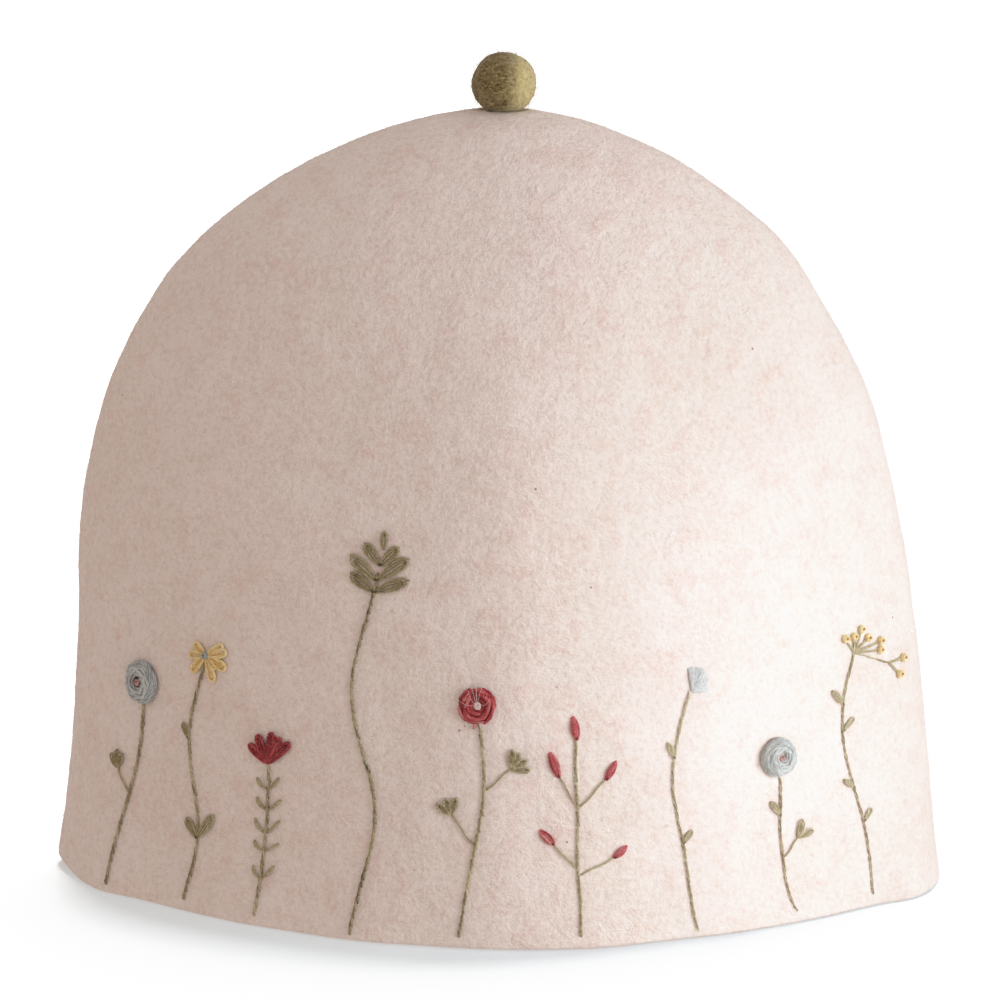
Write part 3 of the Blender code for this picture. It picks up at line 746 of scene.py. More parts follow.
def coilStrand(centre, outline, dye, fat=1.0, spokes=0, wave=0.0, perTurn=22, spinWay=1, begin=0.0,
               squash=1.0, uneven=0.0):
    # A thread wound about a place. outline has a radius and a height for each turn of it.
    normal = smoothNormal(centre)
    level, upward = frameAt(normal)
    turns = len(outline) - 1
    radii, heights = zip(*outline)
    points, fats = [], []
    for k in range(round(turns * perTurn) + 1):
        at = k / perTurn
        angle = begin + spinWay * 2 * math.pi * at
        radius = float(np.interp(at, range(turns + 1), radii))
        height = float(np.interp(at, range(turns + 1), heights))
        weave = math.sin(spokes * angle / 2) * wave
        radius *= (1 + 0.035 * math.sin(2.3 * angle + turns) + 0.02 * math.sin(5.1 * angle)
                   + dice.uniform(-uneven, uneven))
        flat = centre + level * (math.cos(angle) * radius * squash) + upward * (math.sin(angle) * radius)
        lean = (flat - feltTree.find_nearest(flat)[0]).dot(normal)
        points.append(flat + normal * (height + weave - lean))
        fats.append(fat * (1 + 0.06 * math.sin(3.7 * angle)))
    return {"points": points, "fats": fats, "dye": dye}


def frenchKnot(centre, radius, dye, fat):
    # Two turns of thread about the needle, drawn down through their middle
    outline = [(radius * share, height) for share, height in (
        (0.66, 0.0), (0.68, 0.00045), (0.60, 0.00105), (0.10, 0.0006))]
    return coilStrand(centre, outline, dye, fat, perTurn=14, begin=dice.uniform(0, 6.28))


# Stems, from just above the hem to their blooms. bow bulges to the right, sway is an S and ripple
# a double S. paler is how much paler a stem's thread is dyed than the rest: painted light on the stems
# to the right, towards the key light, and painted shade on the fern and the rose to the left.

stemKeys = ("node", "root", "rootUp", "top", "topUp", "bow", "sway", "ripple", "fat", "paler")
stems = {name: dict(zip(stemKeys, row)) for name, *row in (
    ("rose", "rose_stem", -0.1213, 0.0030, -0.1076, 0.0625, 0.0015, -0.0007, 0.0, 0.95, -0.02),
    ("daisy", "daisy_stem", -0.0946, 0.0039, -0.0868, 0.0783, 0.0, 0.0029, -0.0002, 0.82, 0.0),
    ("tulip", "tulip_stem", -0.0711, 0.0035, -0.0659, 0.0508, 0.0012, 0.0, 0.0, 0.86, 0.0),
    ("fern", "fern_stem", -0.0409, 0.0020, -0.0313, 0.1143, -0.0003, 0.0048, -0.0012, 0.86, -0.15),
    ("redRose", "red_rose_stem", -0.0076, 0.0038, -0.0013, 0.0694, 0.0029, -0.0009, 0.0, 0.84, 0.0),
    ("berry", "berry_stem", 0.0288, 0.0041, 0.0273, 0.0646, -0.0002, 0.0001, 0.0003, 0.78, 0.12),
    ("fan", "fan_stem", 0.0637, 0.0020, 0.0603, 0.0763, -0.0050, 0.0013, -0.0003, 0.70, 0.12),
    ("button", "button_stem", 0.0936, 0.0036, 0.0877, 0.0466, -0.0022, -0.0005, -0.0002, 0.70, 0.12),
    ("yarrow", "yarrow_stem", 0.1172, 0.0038, 0.1101, 0.0801, -0.0040, 0.0023, 0.0, 0.66, 0.14))}
fernNeck = 0.1120  # where the fern's stem ends and its leaves alone go on

# height, turn in degrees (0 is right and 90 up), length, width
leaves = {
    "daisy": ((0.0547, 122, 0.0050, 0.0022), (0.0241, 127, 0.0070, 0.0033), (0.0241, 53, 0.0102, 0.0034)),
    "tulip": ((0.0431, 142, 0.0053, 0.0013), (0.0431, 51, 0.0054, 0.0013), (0.0367, 135, 0.0054, 0.0013),
              (0.0367, 41, 0.0060, 0.0013), (0.0294, 132, 0.0058, 0.0013), (0.0294, 45, 0.0070, 0.0013),
              (0.0239, 140, 0.0046, 0.0013), (0.0239, 32, 0.0061, 0.0013), (0.0150, 123, 0.0047, 0.0013),
              (0.0150, 45, 0.0068, 0.0013)),
    "fern": ((0.1062, 147, 0.0092, 0.0038), (0.1062, 22, 0.0113, 0.0037), (0.1096, 142, 0.0111, 0.0040),
             (0.1096, 37, 0.0118, 0.0040), (0.1140, 131, 0.0082, 0.0037), (0.1140, 48, 0.0078, 0.0036)),
    "fan": ((0.0565, 112, 0.0050, 0.0018), (0.0303, 53, 0.0046, 0.0020)),
    "button": ((0.0346, 126, 0.0056, 0.0024),),
    "yarrow": ((0.0649, 129, 0.0062, 0.0024), (0.0568, 37, 0.0056, 0.0020), (0.0388, 143, 0.0048, 0.0020),
               (0.0275, 47, 0.0048, 0.0022)),
}
# a leaf under slim is one straight stitch, and wider ones are filled with more stitches
# holeShade is the length of a strand in the darkest dye, painted shade for the hole that a leaf's thread goes
# down
leafForm = {"fat": 0.86, "dye": (0.42, 0.66), "slim": 0.0016, "slimFat": 1.25, "slimHeight": 0.0006,
            "leftBend": 0.0004, "rightBend": -0.0002, "twoFills": 0.0025, "threeFills": 0.0031,
            "holeShade": 0.0008, "holeHeight": 0.00062, "holeFat": 0.75}

# height, turn, length, then how many small loops end it, their turn and the angle between them
shoots = {
    "rose": ((0.0325, 127, 0.0092, 3, 101, 31),),
    "redRose": ((0.0492, 41, 0.0107, 4, 43, 31), (0.0323, 127, 0.0120, 3, 110, 37)),
    "berry": ((0.0440, 120, 0.0110, 0, 0, 0), (0.0437, 44, 0.0119, 0, 0, 0), (0.0247, 131, 0.0110, 0, 0, 0),
              (0.0228, 26, 0.0119, 0, 0, 0)),
    "button": ((0.0210, 47, 0.0078, 2, 43, 58),),
}
shootForm = {"fat": 0.80, "height": 0.00036, "curve": 0.0002, "dye": (0.5, 0.75)}
tuft = {"length": 0.0053, "width": 0.0025, "fat": 0.72, "dye": (0.45, 0.75), "fillDye": 0.33,
        "tall": 0.0006}


def stemPlace(stem, up):
    t = (up - stem["rootUp"]) / (stem["topUp"] - stem["rootUp"])
    lean = stem["root"] + (stem["top"] - stem["root"]) * t
    bend = stem["sway"] * math.sin(2 * math.pi * t) + stem["ripple"] * math.sin(4 * math.pi * t)
    return frontPlace(lean + 4 * stem["bow"] * t * (1 - t) + bend, up)


def stemPath(name, stem):
    tall = (fernNeck if name == "fern" else stem["topUp"]) - stem["rootUp"]
    count = max(8, round(tall / 0.001))
    places = [stemPlace(stem, stem["rootUp"] + tall * k / count) for k in range(count + 1)]
    return [(place, smoothNormal(place)) for place in places]


def leafStrands(stem, up, turn, length, width):
    form = leafForm
    path = walkFelt(stemPlace(stem, up), turn, length)
    dye = dice.uniform(*form["dye"])
    if width < form["slim"]:
        bend = form["leftBend"] if turn > 90 else form["rightBend"]
        return straightStitch(path, bend, form["slimFat"], dye, form["slimHeight"])
    # a short strand in the darkest dye, painted shade of the hole that its thread goes down
    holeShade = layStrand(path, 0.0, form["holeShade"] / length, 0.0, form["holeHeight"], form["holeFat"], 0.0, 3)
    fills = 1 + (width > form["twoFills"]) + (width > form["threeFills"])
    return [holeShade, *loopStitch(path, width, form["fat"], dye, fills)]


def shootStrands(stem, up, turn, length, loops, loopTurn, spread):
    path = walkFelt(stemPlace(stem, up), turn, length)
    curve = dice.choice((-1, 1)) * shootForm["curve"]
    strands = [layStrand(path, 0.08, 1.0, lambda u: curve * math.sin(2 * math.pi * u),
                         humpOf(shootForm["height"], sharp=0.3), shootForm["fat"],
                         dice.uniform(*shootForm["dye"]), 22)]
    for k in range(loops):
        aim = loopTurn + spread * (k - (loops - 1) / 2) + dice.uniform(-4, 4)
        loop = walkFelt(path[-1][0], aim, tuft["length"] * wobble(0.08))
        strands += loopStitch(loop, tuft["width"], tuft["fat"], dice.uniform(*tuft["dye"]), 2,
                              tuft["fillDye"], tall=tuft["tall"])
    return strands, path[-1][0]


print("stems")
stitched = {}
tips = {}
for name, stem in stems.items():
    strands = stemStitches(stemPath(name, stem), stem["fat"])
    for leaf in leaves.get(name, ()):
        strands += leafStrands(stem, *leaf)
    tips[name] = []
    for shoot in shoots.get(name, ()):
        more, tip = shootStrands(stem, *shoot)
        strands += more
        tips[name].append(tip)
    stitched[name] = strands

# The yarrow's head: thin spokes out of the top of its stem, the last one forked. Each has a turn
# and a length, and ends in a knot.
yarrowHead = {"spokes": ((127, 0.0061), (90, 0.0050), (64, 0.0075), (32, 0.0070), (9, 0.0118), (-5, 0.0112)),
              "fork": (-21, 0.0160), "forkSpokes": ((2, 0.0074), (-42, 0.0066)),
              "apart": 0.00016, "short": 0.0009, "fat": 0.56, "height": 0.00034, "dip": 0.0002}
hub = frontPlace(stems["yarrow"]["top"], stems["yarrow"]["topUp"])
forkPath = walkFelt(hub, *yarrowHead["fork"])
stitched["yarrow"] += stemStitches(forkPath, 0.62, 0.6)
knots = []
for start, spokes in ((hub, yarrowHead["spokes"]), (forkPath[-1][0], yarrowHead["forkSpokes"])):
    for turn, length in spokes:
        path = walkFelt(start, turn, length)
        knots.append(path[-1][0])
        for aside in (-yarrowHead["apart"], yarrowHead["apart"]):
            stitched["yarrow"].append(layStrand(
                path, 0.0, 1.0 - yarrowHead["short"] / length, aside,
                humpOf(yarrowHead["height"], yarrowHead["dip"], 0.35), yarrowHead["fat"],
                dice.uniform(0.3, 0.7), 12))

for name, strands in stitched.items():
    # stems to the right are dyed paler and the fern's darker: painted light and painted shade
    for strand in strands:
        strand["dye"] += stems[name]["paler"]
    spin(name + "Stem", stems[name]["node"], strands, stemYarn, "green_thread")

fernTip = {"across": -0.0306, "up": 0.1187, "turn": 89, "length": 0.0054, "width": 0.0024, "dye": 0.42}
path = walkFelt(centreOf(fernTip), fernTip["turn"], fernTip["length"])
spin("fernTip", "fern_tip", loopStitch(path, fernTip["width"], leafForm["fat"], fernTip["dye"]), stemYarn,
     "green_thread")

# Buds, satin stitched, on the top of the berry's stem and on its shoots
print("buds and knots")
petalYarn = {**stemYarn, "mottle": 0.07}
budForm = {"fat": 0.95, "dye": 0.56, "holeFat": 0.80, "holeHeight": 0.00085, "holeShadeDye": 0.14,
           "foot": 0.0002,  # how far the first bud starts under its stem's top
           # turn, length, width, stitches
           "rows": ((98, 0.0071, 0.0027, 4), (110, 0.0080, 0.0029, 4), (58, 0.0063, 0.0024, 3),
                    (134, 0.0062, 0.0028, 4), (37, 0.0053, 0.0024, 3))}
berryTop = frontPlace(stems["berry"]["top"], stems["berry"]["topUp"] - budForm["foot"])
for number, place in enumerate((berryTop, *tips["berry"])):
    turn, length, width, count = budForm["rows"][number]
    path = walkFelt(place, turn, length)
    strands = satinStitches(path, width, count, budForm["fat"], budForm["dye"])
    for strand in strands:
        strand["dye"] += dice.uniform(-0.10, 0.12)
    # a dark strand at its foot, painted shade of the hole that its threads go down
    strands.append(layStrand(path, 0.0, 0.16, 0.0, budForm["holeHeight"], budForm["holeFat"],
                             budForm["holeShadeDye"], 4))
    spin(f"bud{number}", f"bud_{number}", strands, petalYarn, "red_thread")

# Knots on the yarrow's spokes, each with a dark eye
knotYarn = yarnOf(2, 0.00024, 0.00017, 0.0022, 0.00032, 0.04)
knotForm = {"radius": 0.00145, "fat": 1.1, "dye": (0.62, 0.73), "eye": ((0.0004, 0.0014), (0.0001, 0.0015)),
            "eyeDye": 0.12, "eyeFat": 0.7}
for number, place in enumerate(knots, 1):
    knot = frenchKnot(place, knotForm["radius"], dice.uniform(*knotForm["dye"]), knotForm["fat"])
    eye = coilStrand(place, knotForm["eye"], knotForm["eyeDye"], knotForm["eyeFat"], perTurn=8)
    spin(f"yarrowKnot{number}", f"yarrow_knot_{number}", [knot, eye], knotYarn, "yellow_thread")

# The daisy: loops out of one point, with a turn, a length and a width, and a grey knot over them
print("blooms")
daisyForm = {"across": -0.0862, "up": 0.0812, "petals": (
    (146, 0.0056, 0.0028), (187, 0.0066, 0.0029), (227, 0.0080, 0.0030), (294, 0.0086, 0.0032),
    (316, 0.0056, 0.0022), (338, 0.0086, 0.0033), (14, 0.0082, 0.0031), (31, 0.0076, 0.0026)),
    "wider": 1.08, "fat": 1.05, "dye": (0.58, 0.70), "tall": 0.00055, "lineHeight": 0.0010, "lineFat": 0.24,
    "lineDye": 0.30, "knotRadius": 0.0013, "knotRise": 0.0006, "knotDye": 0.95, "knotFat": 0.9}
centre = centreOf(daisyForm)
strands = []
for turn, length, width in daisyForm["petals"]:
    path = walkFelt(centre, turn, length)
    strands += loopStitch(path, width * daisyForm["wider"], daisyForm["fat"], dice.uniform(*daisyForm["dye"]),
                          3, tall=daisyForm["tall"], tie=False)
    # a thin darker line along its middle
    strands.append(layStrand(path, 0.25, 0.75, 0.0, daisyForm["lineHeight"], daisyForm["lineFat"],
                             daisyForm["lineDye"], 8))
middle = frenchKnot(centre, daisyForm["knotRadius"], daisyForm["knotDye"], daisyForm["knotFat"])
outward = feltTree.find_nearest(centre)[1]
middle["points"] = [point + outward * daisyForm["knotRise"] for point in middle["points"]]
spin("daisyBloom", "daisy", [*strands, middle], petalYarn, "yellow_thread")

# The tulip: loops of a thicker yarn
tulipForm = {"across": -0.0661, "up": 0.0512, "petals": (
    (141, 0.0085, 0.0029), (113, 0.0094, 0.0032), (82, 0.0101, 0.0030), (65, 0.0097, 0.0028),
    (45, 0.0108, 0.0031)), "fat": 0.95, "dye": (0.18, 0.40), "yarnRadius": 0.00056, "tall": 0.0007}
tulipYarn = yarnOf(3, 0.00030, 0.00031, 0.0036, 0.0004, 0.10)
centre = centreOf(tulipForm)
strands = []
for turn, length, width in tulipForm["petals"]:
    strands += loopStitch(walkFelt(centre, turn, length), width, tulipForm["fat"],
                          dice.uniform(*tulipForm["dye"]), yarnRadius=tulipForm["yarnRadius"],
                          tall=tulipForm["tall"], tie=False)
spin("tulipBloom", "tulip", strands, tulipYarn, "red_thread")

# The fan: straight rays, with a turn and a length, and more of them between
fanForm = {"across": 0.0610, "up": 0.0760, "rays": (
    (97, 0.0075), (90, 0.0075), (82, 0.0070), (74, 0.0073), (66, 0.0074), (57, 0.0075), (47, 0.0072),
    (36, 0.0066), (25, 0.0060), (13, 0.0055), (2, 0.0053), (-8, 0.0052)),
    "height": 0.00048, "fat": 1.10, "bend": 0.0002, "dye": (0.42, 0.66)}
fanYarn = yarnOf(2, 0.00019, 0.00014, 0.0026, 0.00036, 0.12)
centre = centreOf(fanForm)
strands = []
rays = fanForm["rays"]
between = [((a[0] + b[0]) / 2, (a[1] + b[1]) / 2) for a, b in zip(rays, rays[1:])]
for turn, length in (*between, *rays):
    path = walkFelt(centre, turn, length * wobble(0.04))
    bow = bowOf(dice.uniform(-fanForm["bend"], fanForm["bend"]))
    strands.append(layStrand(path, 0.03, 1.0, bow, humpOf(fanForm["height"] * wobble(0.3)),
                             fanForm["fat"] * wobble(0.12), dice.uniform(*fanForm["dye"])))
spin("blueFan", "blue_fan", strands, fanYarn, "blue_thread")

# The red rose is woven on spokes. Each of its coils has a radius and a height for each turn of the
# thread, from the rim to the middle, then its dye, fatness, spokes, wave, points in a turn, start
# and unevenness. The last is its pale middle.
redRoseForm = {"across": -0.0019, "up": 0.0750, "coils": (
    (((0.0052, 0.00055), (0.0050, 0.00085), (0.0041, 0.00115), (0.0030, 0.00115), (0.0020, 0.0009),
      (0.0016, 0.0003)), 0.38, 1.0, 5, 0.00022, 16, 2.0, 0.06),
    (((0.0054, 0.0013), (0.0043, 0.0017), (0.0033, 0.0016)), 0.60, 0.62, 5, 0.0003, 13, 3.3, 0.10),
    (((0.0050, 0.0016), (0.0037, 0.0019), (0.0026, 0.0015)), 0.50, 0.55, 5, 0.0003, 13, 5.1, 0.10),
    (((0.0009, 0.0006), (0.0009, 0.0013), (0.0003, 0.0014)), 0.98, 0.8, 0, 0.0, 7, 0.0, 0.3)),
    # pale wool fibres that cling to it: turn, length
    "fibres": ((86, 0.0085), (97, 0.0078), (74, 0.0070), (118, 0.0052), (30, 0.0046), (160, 0.0060),
               (104, 0.0088)),
    "fibreHeight": 0.0026, "fibreFat": 0.075, "fibreBend": 0.0008, "fibreDye": 1.05,
    # the stitch at its foot: turn, length, height, fatness, dye
    "foot": (262, 0.0072, 0.0006, 0.5, 0.62)}
redRoseYarn = yarnOf(4, 0.00029, 0.00036, 0.0046, 0.0004, 0.16)
centre = centreOf(redRoseForm)
strands = [coilStrand(centre, *coil[:6], begin=coil[6], uneven=coil[7]) for coil in redRoseForm["coils"]]
for turn, length in redRoseForm["fibres"]:
    bow = bowOf(dice.uniform(-redRoseForm["fibreBend"], redRoseForm["fibreBend"]))
    strands.append(layStrand(walkFelt(centre, turn, length), 0.08, 1.0, bow, redRoseForm["fibreHeight"],
                             redRoseForm["fibreFat"], redRoseForm["fibreDye"], 10))
turn, length, *rest = redRoseForm["foot"]
strands.append(layStrand(walkFelt(centre, turn, length), 0.68, 1.0, 0.0, *rest, 5))
spin("redRose", "red_rose", strands, redRoseYarn, "red_thread")

# The blue rose and the blue button are wound, one each way round
blueForms = (
    {"name": "blueRose", "node": "blue_rose", "across": -0.1079, "up": 0.0688, "squash": 1.04, "way": 1,
     "dye": 0.35, "outline": ((0.0062, 0.0004), (0.0062, 0.0010), (0.0059, 0.0016), (0.0053, 0.0021),
                              (0.0044, 0.0024), (0.0035, 0.0026), (0.0026, 0.0026), (0.0018, 0.0022))},
    {"name": "blueButton", "node": "blue_button", "across": 0.0866, "up": 0.0527, "squash": 1.03, "way": -1,
     "dye": 0.46, "outline": ((0.0053, 0.0004), (0.0054, 0.0011), (0.0053, 0.0018), (0.0051, 0.0025),
                              (0.0045, 0.0030), (0.0036, 0.0032), (0.0027, 0.0033), (0.0019, 0.0031),
                              (0.0013, 0.0025))})
blueYarn = yarnOf(3, 0.00025, 0.00030, 0.0060, 0.0004, 0.14)
# over is how far out and up the loose turns lie on top, and eye has radii, and heights over the top
blueTop = {"over": (0.0003, 0.0006), "overDye": 0.56, "overFat": 0.5, "starts": (2.6, 4.4),
           "eye": ((0.0009, 0.0), (0.0009, 0.0005), (0.0004, 0.0007)), "eyeDye": 0.84, "eyeFat": 0.62}
for form in blueForms:
    centre = centreOf(form)
    strands = [coilStrand(centre, form["outline"], form["dye"], 1.12, perTurn=24, spinWay=form["way"],
                          begin=1.0, squash=form["squash"], uneven=0.012)]
    outward, upward = blueTop["over"]
    over = [(radius + outward, height + upward) for radius, height in form["outline"][-5:-1]]
    for begin in blueTop["starts"]:
        strands.append(coilStrand(centre, over, blueTop["overDye"], blueTop["overFat"], 3, 0.0003, 6.5,
                                  form["way"], begin, uneven=0.05))
    top = form["outline"][-1][1]
    eye = [(radius, top + height) for radius, height in blueTop["eye"]]
    strands.append(coilStrand(centre, eye, blueTop["eyeDye"], blueTop["eyeFat"], perTurn=12, begin=0.4))
    spin(form["name"], form["node"], strands, blueYarn, "blue_thread")

# The felt gives a little under the threads, on its front alone and not close to the table
print("felt under the threads")
sinkForm = {"depth": 0.00030, "reach": 0.0015, "within": 0.004, "front": -0.01, "top": 0.135, "atLeast": 0.3}
threadPoints = KDTree(len(strandPoints))
for k, point in enumerate(strandPoints):
    threadPoints.insert(point, k)
threadPoints.balance()
feltNormals = numbersOf(feltBody.data.vertex_normals, "vector", 3)
near = ((feltPoints[:, 1] < sinkForm["front"]) & (feltPoints[:, 2] < sinkForm["top"])
        & (looseness > sinkForm["atLeast"]))
for k in np.nonzero(near)[0]:
    gap = threadPoints.find(feltPoints[k])[2]
    if gap < sinkForm["within"]:
        feltPoints[k] -= feltNormals[k] * sinkForm["depth"] * math.exp(-(gap / sinkForm["reach"]) ** 2)
movePoints(feltBody, feltPoints)
wear(feltBody, "blush_felt", "felt_body")


# The ball

def makeBallMesh():
    shape = bmesh.new()
    bmesh.ops.create_icosphere(shape, subdivisions=ballForm["cuts"], radius=1)
    bmesh.ops.scale(shape, vec=Vector(ballShape), verts=shape.verts)
    bmesh.ops.translate(shape, vec=Vector(ballCentre), verts=shape.verts)
    mesh = bpy.data.meshes.new("feltBall")
    shape.to_mesh(mesh)
    shape.free()
    mesh.attributes.new("loose", "FLOAT", "POINT").data.foreach_set("value", [1.0] * len(mesh.vertices))
    return mesh


print("ball")
feltBall = grow("feltBall", makeBallMesh(), lumpTree, {
    "Lump size": 0.0021, "Lump height": 0.00022, "Hollow size": 0.009, "Hollow height": 0.0005,
    "Grain": 1.3, "Material": oliveWool})
# its underside keeps its shape, and it has one dimple in front
fromCentre = pointsOf(feltBall) - ballCentre
reach = np.linalg.norm(fromCentre / ballShape, axis=1)
kept = np.where(fromCentre[:, 2] < -ballForm["under"], np.minimum(reach, ballForm["slack"]), reach)
ballPoints = ballCentre + fromCentre * (kept / reach)[:, None]
fromDimple = np.linalg.norm(ballPoints - ballCentre - np.array(ballForm["dimple"]), axis=1)
closeness = np.exp(-(fromDimple / ballForm["dimpleSize"]) ** 2)
ballPoints -= fromCentre * (closeness * ballForm["dimpleShare"])[:, None]
movePoints(feltBall, ballPoints)
wear(feltBall, "green_felt", "felt_ball")


# Loose wool hairs that lie on the felt, curl and cross, and stand up more along its folds

def makeHairTree():
    tree, given = startTree("feltHairs", (
        "Density", "Shortest", "Longest", "Hair radius", "Curl", "Lift", "Fly", "Curl size", "Side", "Band"),
        ("Seed", "Points"))
    place = outOf(tree, "GeometryNodeInputPosition")
    depth = outOf(tree, "ShaderNodeSeparateXYZ", {0: place}, "Y")
    facing = reckon(tree, "GREATER_THAN", times(tree, depth, given["Side"]), -0.00001)
    inBand = reckon(tree, "LESS_THAN", reckon(tree, "ABSOLUTE", depth), given["Band"])
    outside = reckon(tree, "GREATER_THAN", readOf(tree, "loose"), 0.35)
    chosen = times(tree, facing, times(tree, inBand, outside))
    spots = addNode(tree, "GeometryNodeDistributePointsOnFaces", {
        "Mesh": given["Geometry"], "Selection": chosen, "Density": given["Density"],
        "Seed": given["Seed"]}).outputs
    kink = outOf(tree, "FunctionNodeRandomValue", {"Seed": given["Seed"]}, 1, data_type="FLOAT")
    marked = storeOn(tree, spots["Points"], "kink", kink)
    marked = storeOn(tree, marked, "outward", spots["Normal"], "FLOAT_VECTOR")
    aim = outOf(tree, "FunctionNodeRandomValue", {0: (-1.0, -1.0, -1.0), 1: (1.0, 1.0, 1.0), "Seed": 11},
                data_type="FLOAT_VECTOR")
    turned = outOf(tree, "FunctionNodeAxesToRotation", {
        "Primary Axis": spots["Normal"], "Secondary Axis": aim}, primary_axis="Z", secondary_axis="X")
    length = outOf(tree, "FunctionNodeRandomValue", {
        2: given["Shortest"], 3: given["Longest"], "Seed": 5}, 1, data_type="FLOAT")
    stretch = outOf(tree, "ShaderNodeCombineXYZ", {"X": length, "Y": 1.0, "Z": 1.0})
    hair = outOf(tree, "GeometryNodeCurvePrimitiveLine", {
        "Start": (-0.5, 0.0, 0.0), "End": (0.5, 0.0, 0.0)})
    hair = outOf(tree, "GeometryNodeResampleCurve", {"Curve": hair, "Count": given["Points"]})
    hairs = outOf(tree, "GeometryNodeInstanceOnPoints", {
        "Points": marked, "Instance": hair, "Rotation": turned, "Scale": stretch})
    hairs = outOf(tree, "GeometryNodeRealizeInstances", {"Geometry": hairs})
    own = readOf(tree, "kink")
    noise = outOf(tree, "ShaderNodeTexNoise", {
        "Vector": place, "W": times(tree, own, 90.0),
        "Scale": reckon(tree, "DIVIDE", 1.0, given["Curl size"]), "Detail": 1.0}, "Color",
        noise_dimensions="4D")
    swing = reckonVector(tree, "SUBTRACT", noise, (0.5, 0.5, 0.5))
    curl = scaled(tree, swing, times(tree, given["Curl"], 2.0))
    along = outOf(tree, "GeometryNodeSplineParameter", out="Factor")
    flight = times(tree, times(tree, own, given["Fly"]), along)
    lift = scaled(tree, readOf(tree, "outward", "FLOAT_VECTOR"), plus(tree, given["Lift"], flight))
    moved = outOf(tree, "GeometryNodeSetPosition", {
        "Geometry": hairs, "Offset": reckonVector(tree, "ADD", curl, lift)})
    # slimmer towards both ends
    fromMiddle = reckon(tree, "ABSOLUTE", reckon(tree, "SUBTRACT", times(tree, along, 2.0), 1.0))
    slim = reckon(tree, "SUBTRACT", 1.0, reckon(tree, "POWER", fromMiddle, 3.0))
    ring = outOf(tree, "GeometryNodeCurvePrimitiveCircle", {"Resolution": 3, "Radius": given["Hair radius"]})
    tube = outOf(tree, "GeometryNodeCurveToMesh", {
        "Curve": moved, "Profile Curve": ring, "Scale": reckon(tree, "MAXIMUM", slim, 0.3),
        "Fill Caps": True})
    endTree(tree, tube, given["Material"])
    return tree


print("hairs")
hairTree = makeHairTree()
hairForm = {"Shortest": 0.0022, "Longest": 0.0068, "Hair radius": 0.000032, "Curl": 0.0008, "Lift": 0.00003,
            "Fly": 0.0002, "Curl size": 0.0030, "Side": 0.0, "Band": 1.0, "Points": 5}
foldFuzz = {"Density": 620000.0, "Shortest": 0.0010, "Longest": 0.0026, "Hair radius": 0.000030,
            "Curl": 0.0004, "Fly": 0.0016, "Curl size": 0.0016, "Band": 0.0050, "Seed": 21, "Points": 4}
ballFuzz = {"Density": 2400000.0, "Shortest": 0.0007, "Longest": 0.0024, "Hair radius": 0.000020,
            "Curl": 0.0004, "Fly": 0.0024, "Curl size": 0.0012, "Seed": 5, "Points": 4}
lowestHair = 0.0003  # over the table
hairPieces = []
for name, source, values, material, slotName in (
        ("frontHairs", feltBody, {"Density": 90000.0, "Side": -1.0, "Seed": 3}, blushHair, "blush_felt"),
        ("backHairs", feltBody, {"Density": 45000.0, "Side": 1.0, "Seed": 8}, blushHair, "blush_felt"),
        ("foldHairs", feltBody, foldFuzz, blushHair, "blush_felt"),
        ("ballHairs", feltBall, ballFuzz, oliveHair, "green_felt")):
    piece = grow(name, source.data.copy(), hairTree, {**hairForm, **values, "Material": material})
    points = pointsOf(piece)
    points[:, 2] = np.maximum(points[:, 2], lowestHair)
    movePoints(piece, points)
    wear(piece, slotName)
    hairPieces.append(piece)

# Floor, light and camera
print("studio")
studio = {"floorSize": 16, "floorDrop": 0.0002, "floorColour": (0.70, 0.83, 0.92),
          "floorShade": (0.68, 0.81, 0.90), "floorGlow": 0.22, "fill": (0.595, 0.499, 0.442),
          "windowColour": (0.88, 0.945, 0.99),
          "sunStrength": 7.0, "sunColour": (1.0, 0.843, 0.76), "sunFrom": (0.16, 0.40, 1.0), "sunSize": 30,
          # the shown brightness for each brightness, up to the white point
          "shoulder": ((0.20, 0.20), (0.40, 0.40), (0.60, 0.60), (0.80, 0.80), (0.90, 0.872), (0.97, 0.920),
                       (1.05, 0.955), (1.25, 0.980)), "whitePoint": 2.0}
bpy.ops.mesh.primitive_plane_add(size=studio["floorSize"], location=(0, 0, -studio["floorDrop"]))
floor = bpy.context.object
floor.name = "floor"
material, tree, shader = startMaterial("paleFloor", {
    "Roughness": 0.9, "Specular IOR Level": 0.0, "Emission Color": (1.0, 1.0, 1.0, 1.0),
    "Emission Strength": studio["floorGlow"]})
paper = spanOf(tree, noiseOf(tree, placeOf(tree), 3.0), 0.3, 0.7, (0.0, 0.04))
tree.links.new(blendOf(tree, paper, studio["floorColour"], studio["floorShade"]), shader["Base Color"])
floor.data.materials.append(material)
floor.visible_diffuse = False

world = bpy.data.worlds.new("studioFill")
scene.world = world
world.use_nodes = True
world.node_tree.nodes["Background"].inputs["Color"].default_value = (*studio["fill"], 1.0)
world.node_tree.nodes["Background"].inputs["Strength"].default_value = 1.0


def gatherIn(name, pieces):
    group = bpy.data.collections.new(name)
    scene.collection.children.link(group)
    for piece in pieces:
        group.objects.link(piece)
    return group


def addLight(name, kind, power, colour, place, aim, lights=None, **settings):
    data = bpy.data.lights.new(name, kind)
    for key, value in {"energy": power, "color": colour, **settings}.items():
        setattr(data, key, value)
    light = bpy.data.objects.new(name, data)
    light.location = place
    light.rotation_euler = (Vector(aim) - Vector(place)).to_track_quat("-Z", "Y").to_euler()
    light.light_linking.receiver_collection = lights
    light.visible_camera = False
    scene.collection.objects.link(light)


allPieces = [feltBody, feltBall, *hairPieces, *embroidery]
cosyOnly = gatherIn("cosyOnly", allPieces)
floorOnly = gatherIn("floorOnly", [floor])
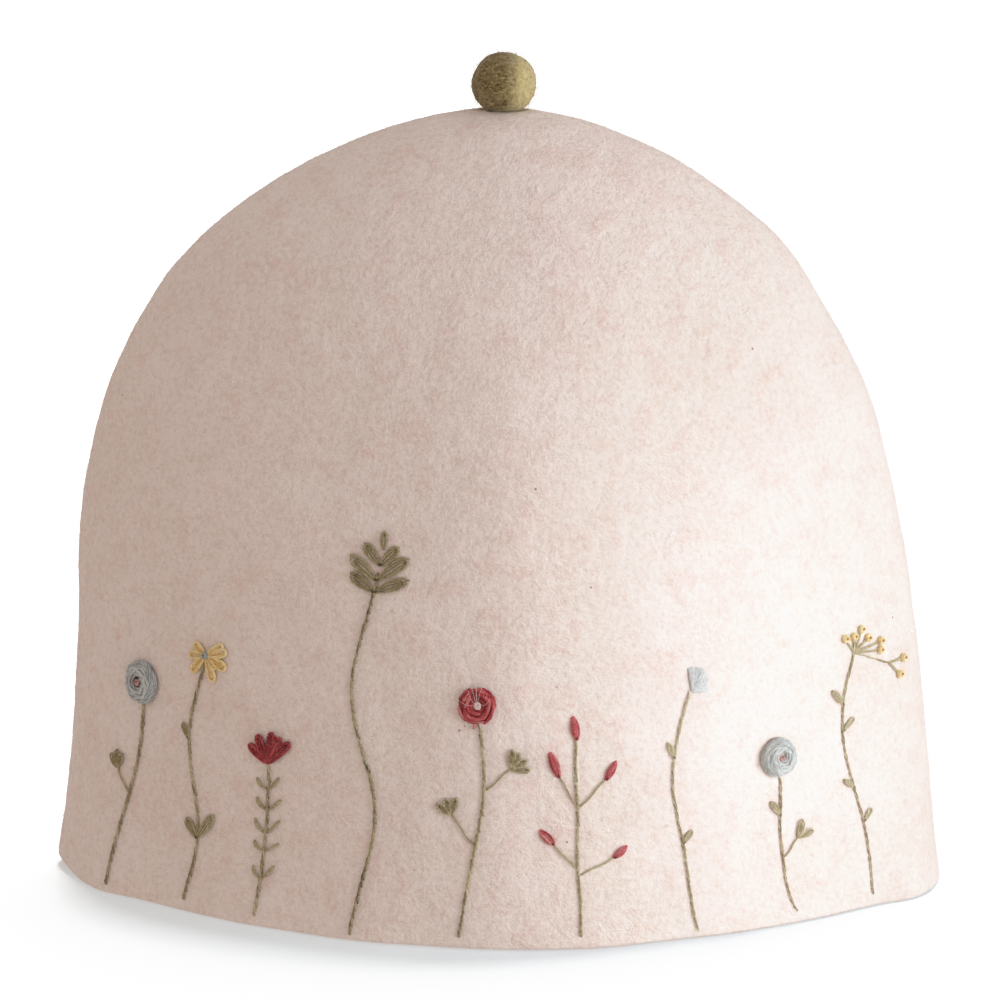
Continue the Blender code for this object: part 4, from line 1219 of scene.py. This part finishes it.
# power, colour, place, aim, width, height, spread in degrees, and what alone it lights. The side
# window is a narrow one, and the ceiling and the floor only send light back.
windows = {
    "keyWindow": (7.9, studio["windowColour"], (1.10, -0.43, 0.22), (0, 0, 0.09), 0.85, 0.38, 180, None),
    "sideWindow": (0.0160, (0.95, 0.94, 0.92), (0.62, -0.92, 0.20), (0.089, -0.06, 0.070), 0.070, 0.16, 8,
                   cosyOnly),
    "ceiling": (0.62, (0.66, 0.85, 1.04), (0.30, -0.34, 1.05), (0, -0.02, 0.2), 0.8, 0.6, 150, cosyOnly),
    "floorBounce": (0.33, studio["windowColour"], (0.33, -0.34, 0.006), (0.02, -0.05, 0.09), 0.30, 0.20, 180,
                    None),
}
for name, (power, colour, place, aim, wide, tall, spread, lights) in windows.items():
    addLight(name, "AREA", power, colour, place, aim, lights, shape="RECTANGLE", size=wide, size_y=tall,
             spread=math.radians(spread))
addLight("overhead", "SUN", studio["sunStrength"], studio["sunColour"], studio["sunFrom"], (0, 0, 0),
         floorOnly, angle=math.radians(studio["sunSize"]))

cameraForm = {"distance": 1.2, "elevation": 12.0, "yaw": 3.5, "aim": (0, 0, 0.125), "lens": 138.7,
              "shift": -0.0153}
elevation, yaw = math.radians(cameraForm["elevation"]), math.radians(cameraForm["yaw"])
cameraData = bpy.data.cameras.new("camera")
camera = bpy.data.objects.new("camera", cameraData)
scene.collection.objects.link(camera)
camera.location = Vector(cameraForm["aim"]) + cameraForm["distance"] * Vector(
    (math.sin(yaw) * math.cos(elevation), -math.cos(yaw) * math.cos(elevation), math.sin(elevation)))
camera.rotation_euler = (Vector(cameraForm["aim"]) - camera.location).to_track_quat("-Z", "Y").to_euler()
cameraData.lens = cameraForm["lens"]
cameraData.sensor_width = 36
cameraData.shift_y = cameraForm["shift"]
scene.camera = camera
scene.view_settings.view_transform = "Standard"
scene.view_settings.use_curve_mapping = True
mapping = scene.view_settings.curve_mapping
mapping.white_level = (studio["whitePoint"],) * 3
curve = mapping.curves[3]
curve.points[1].location = (1.0, 1.0)
for light, shown in studio["shoulder"]:
    curve.points.new(light / studio["whitePoint"], shown)
mapping.update()

print("pieces", len(allPieces))
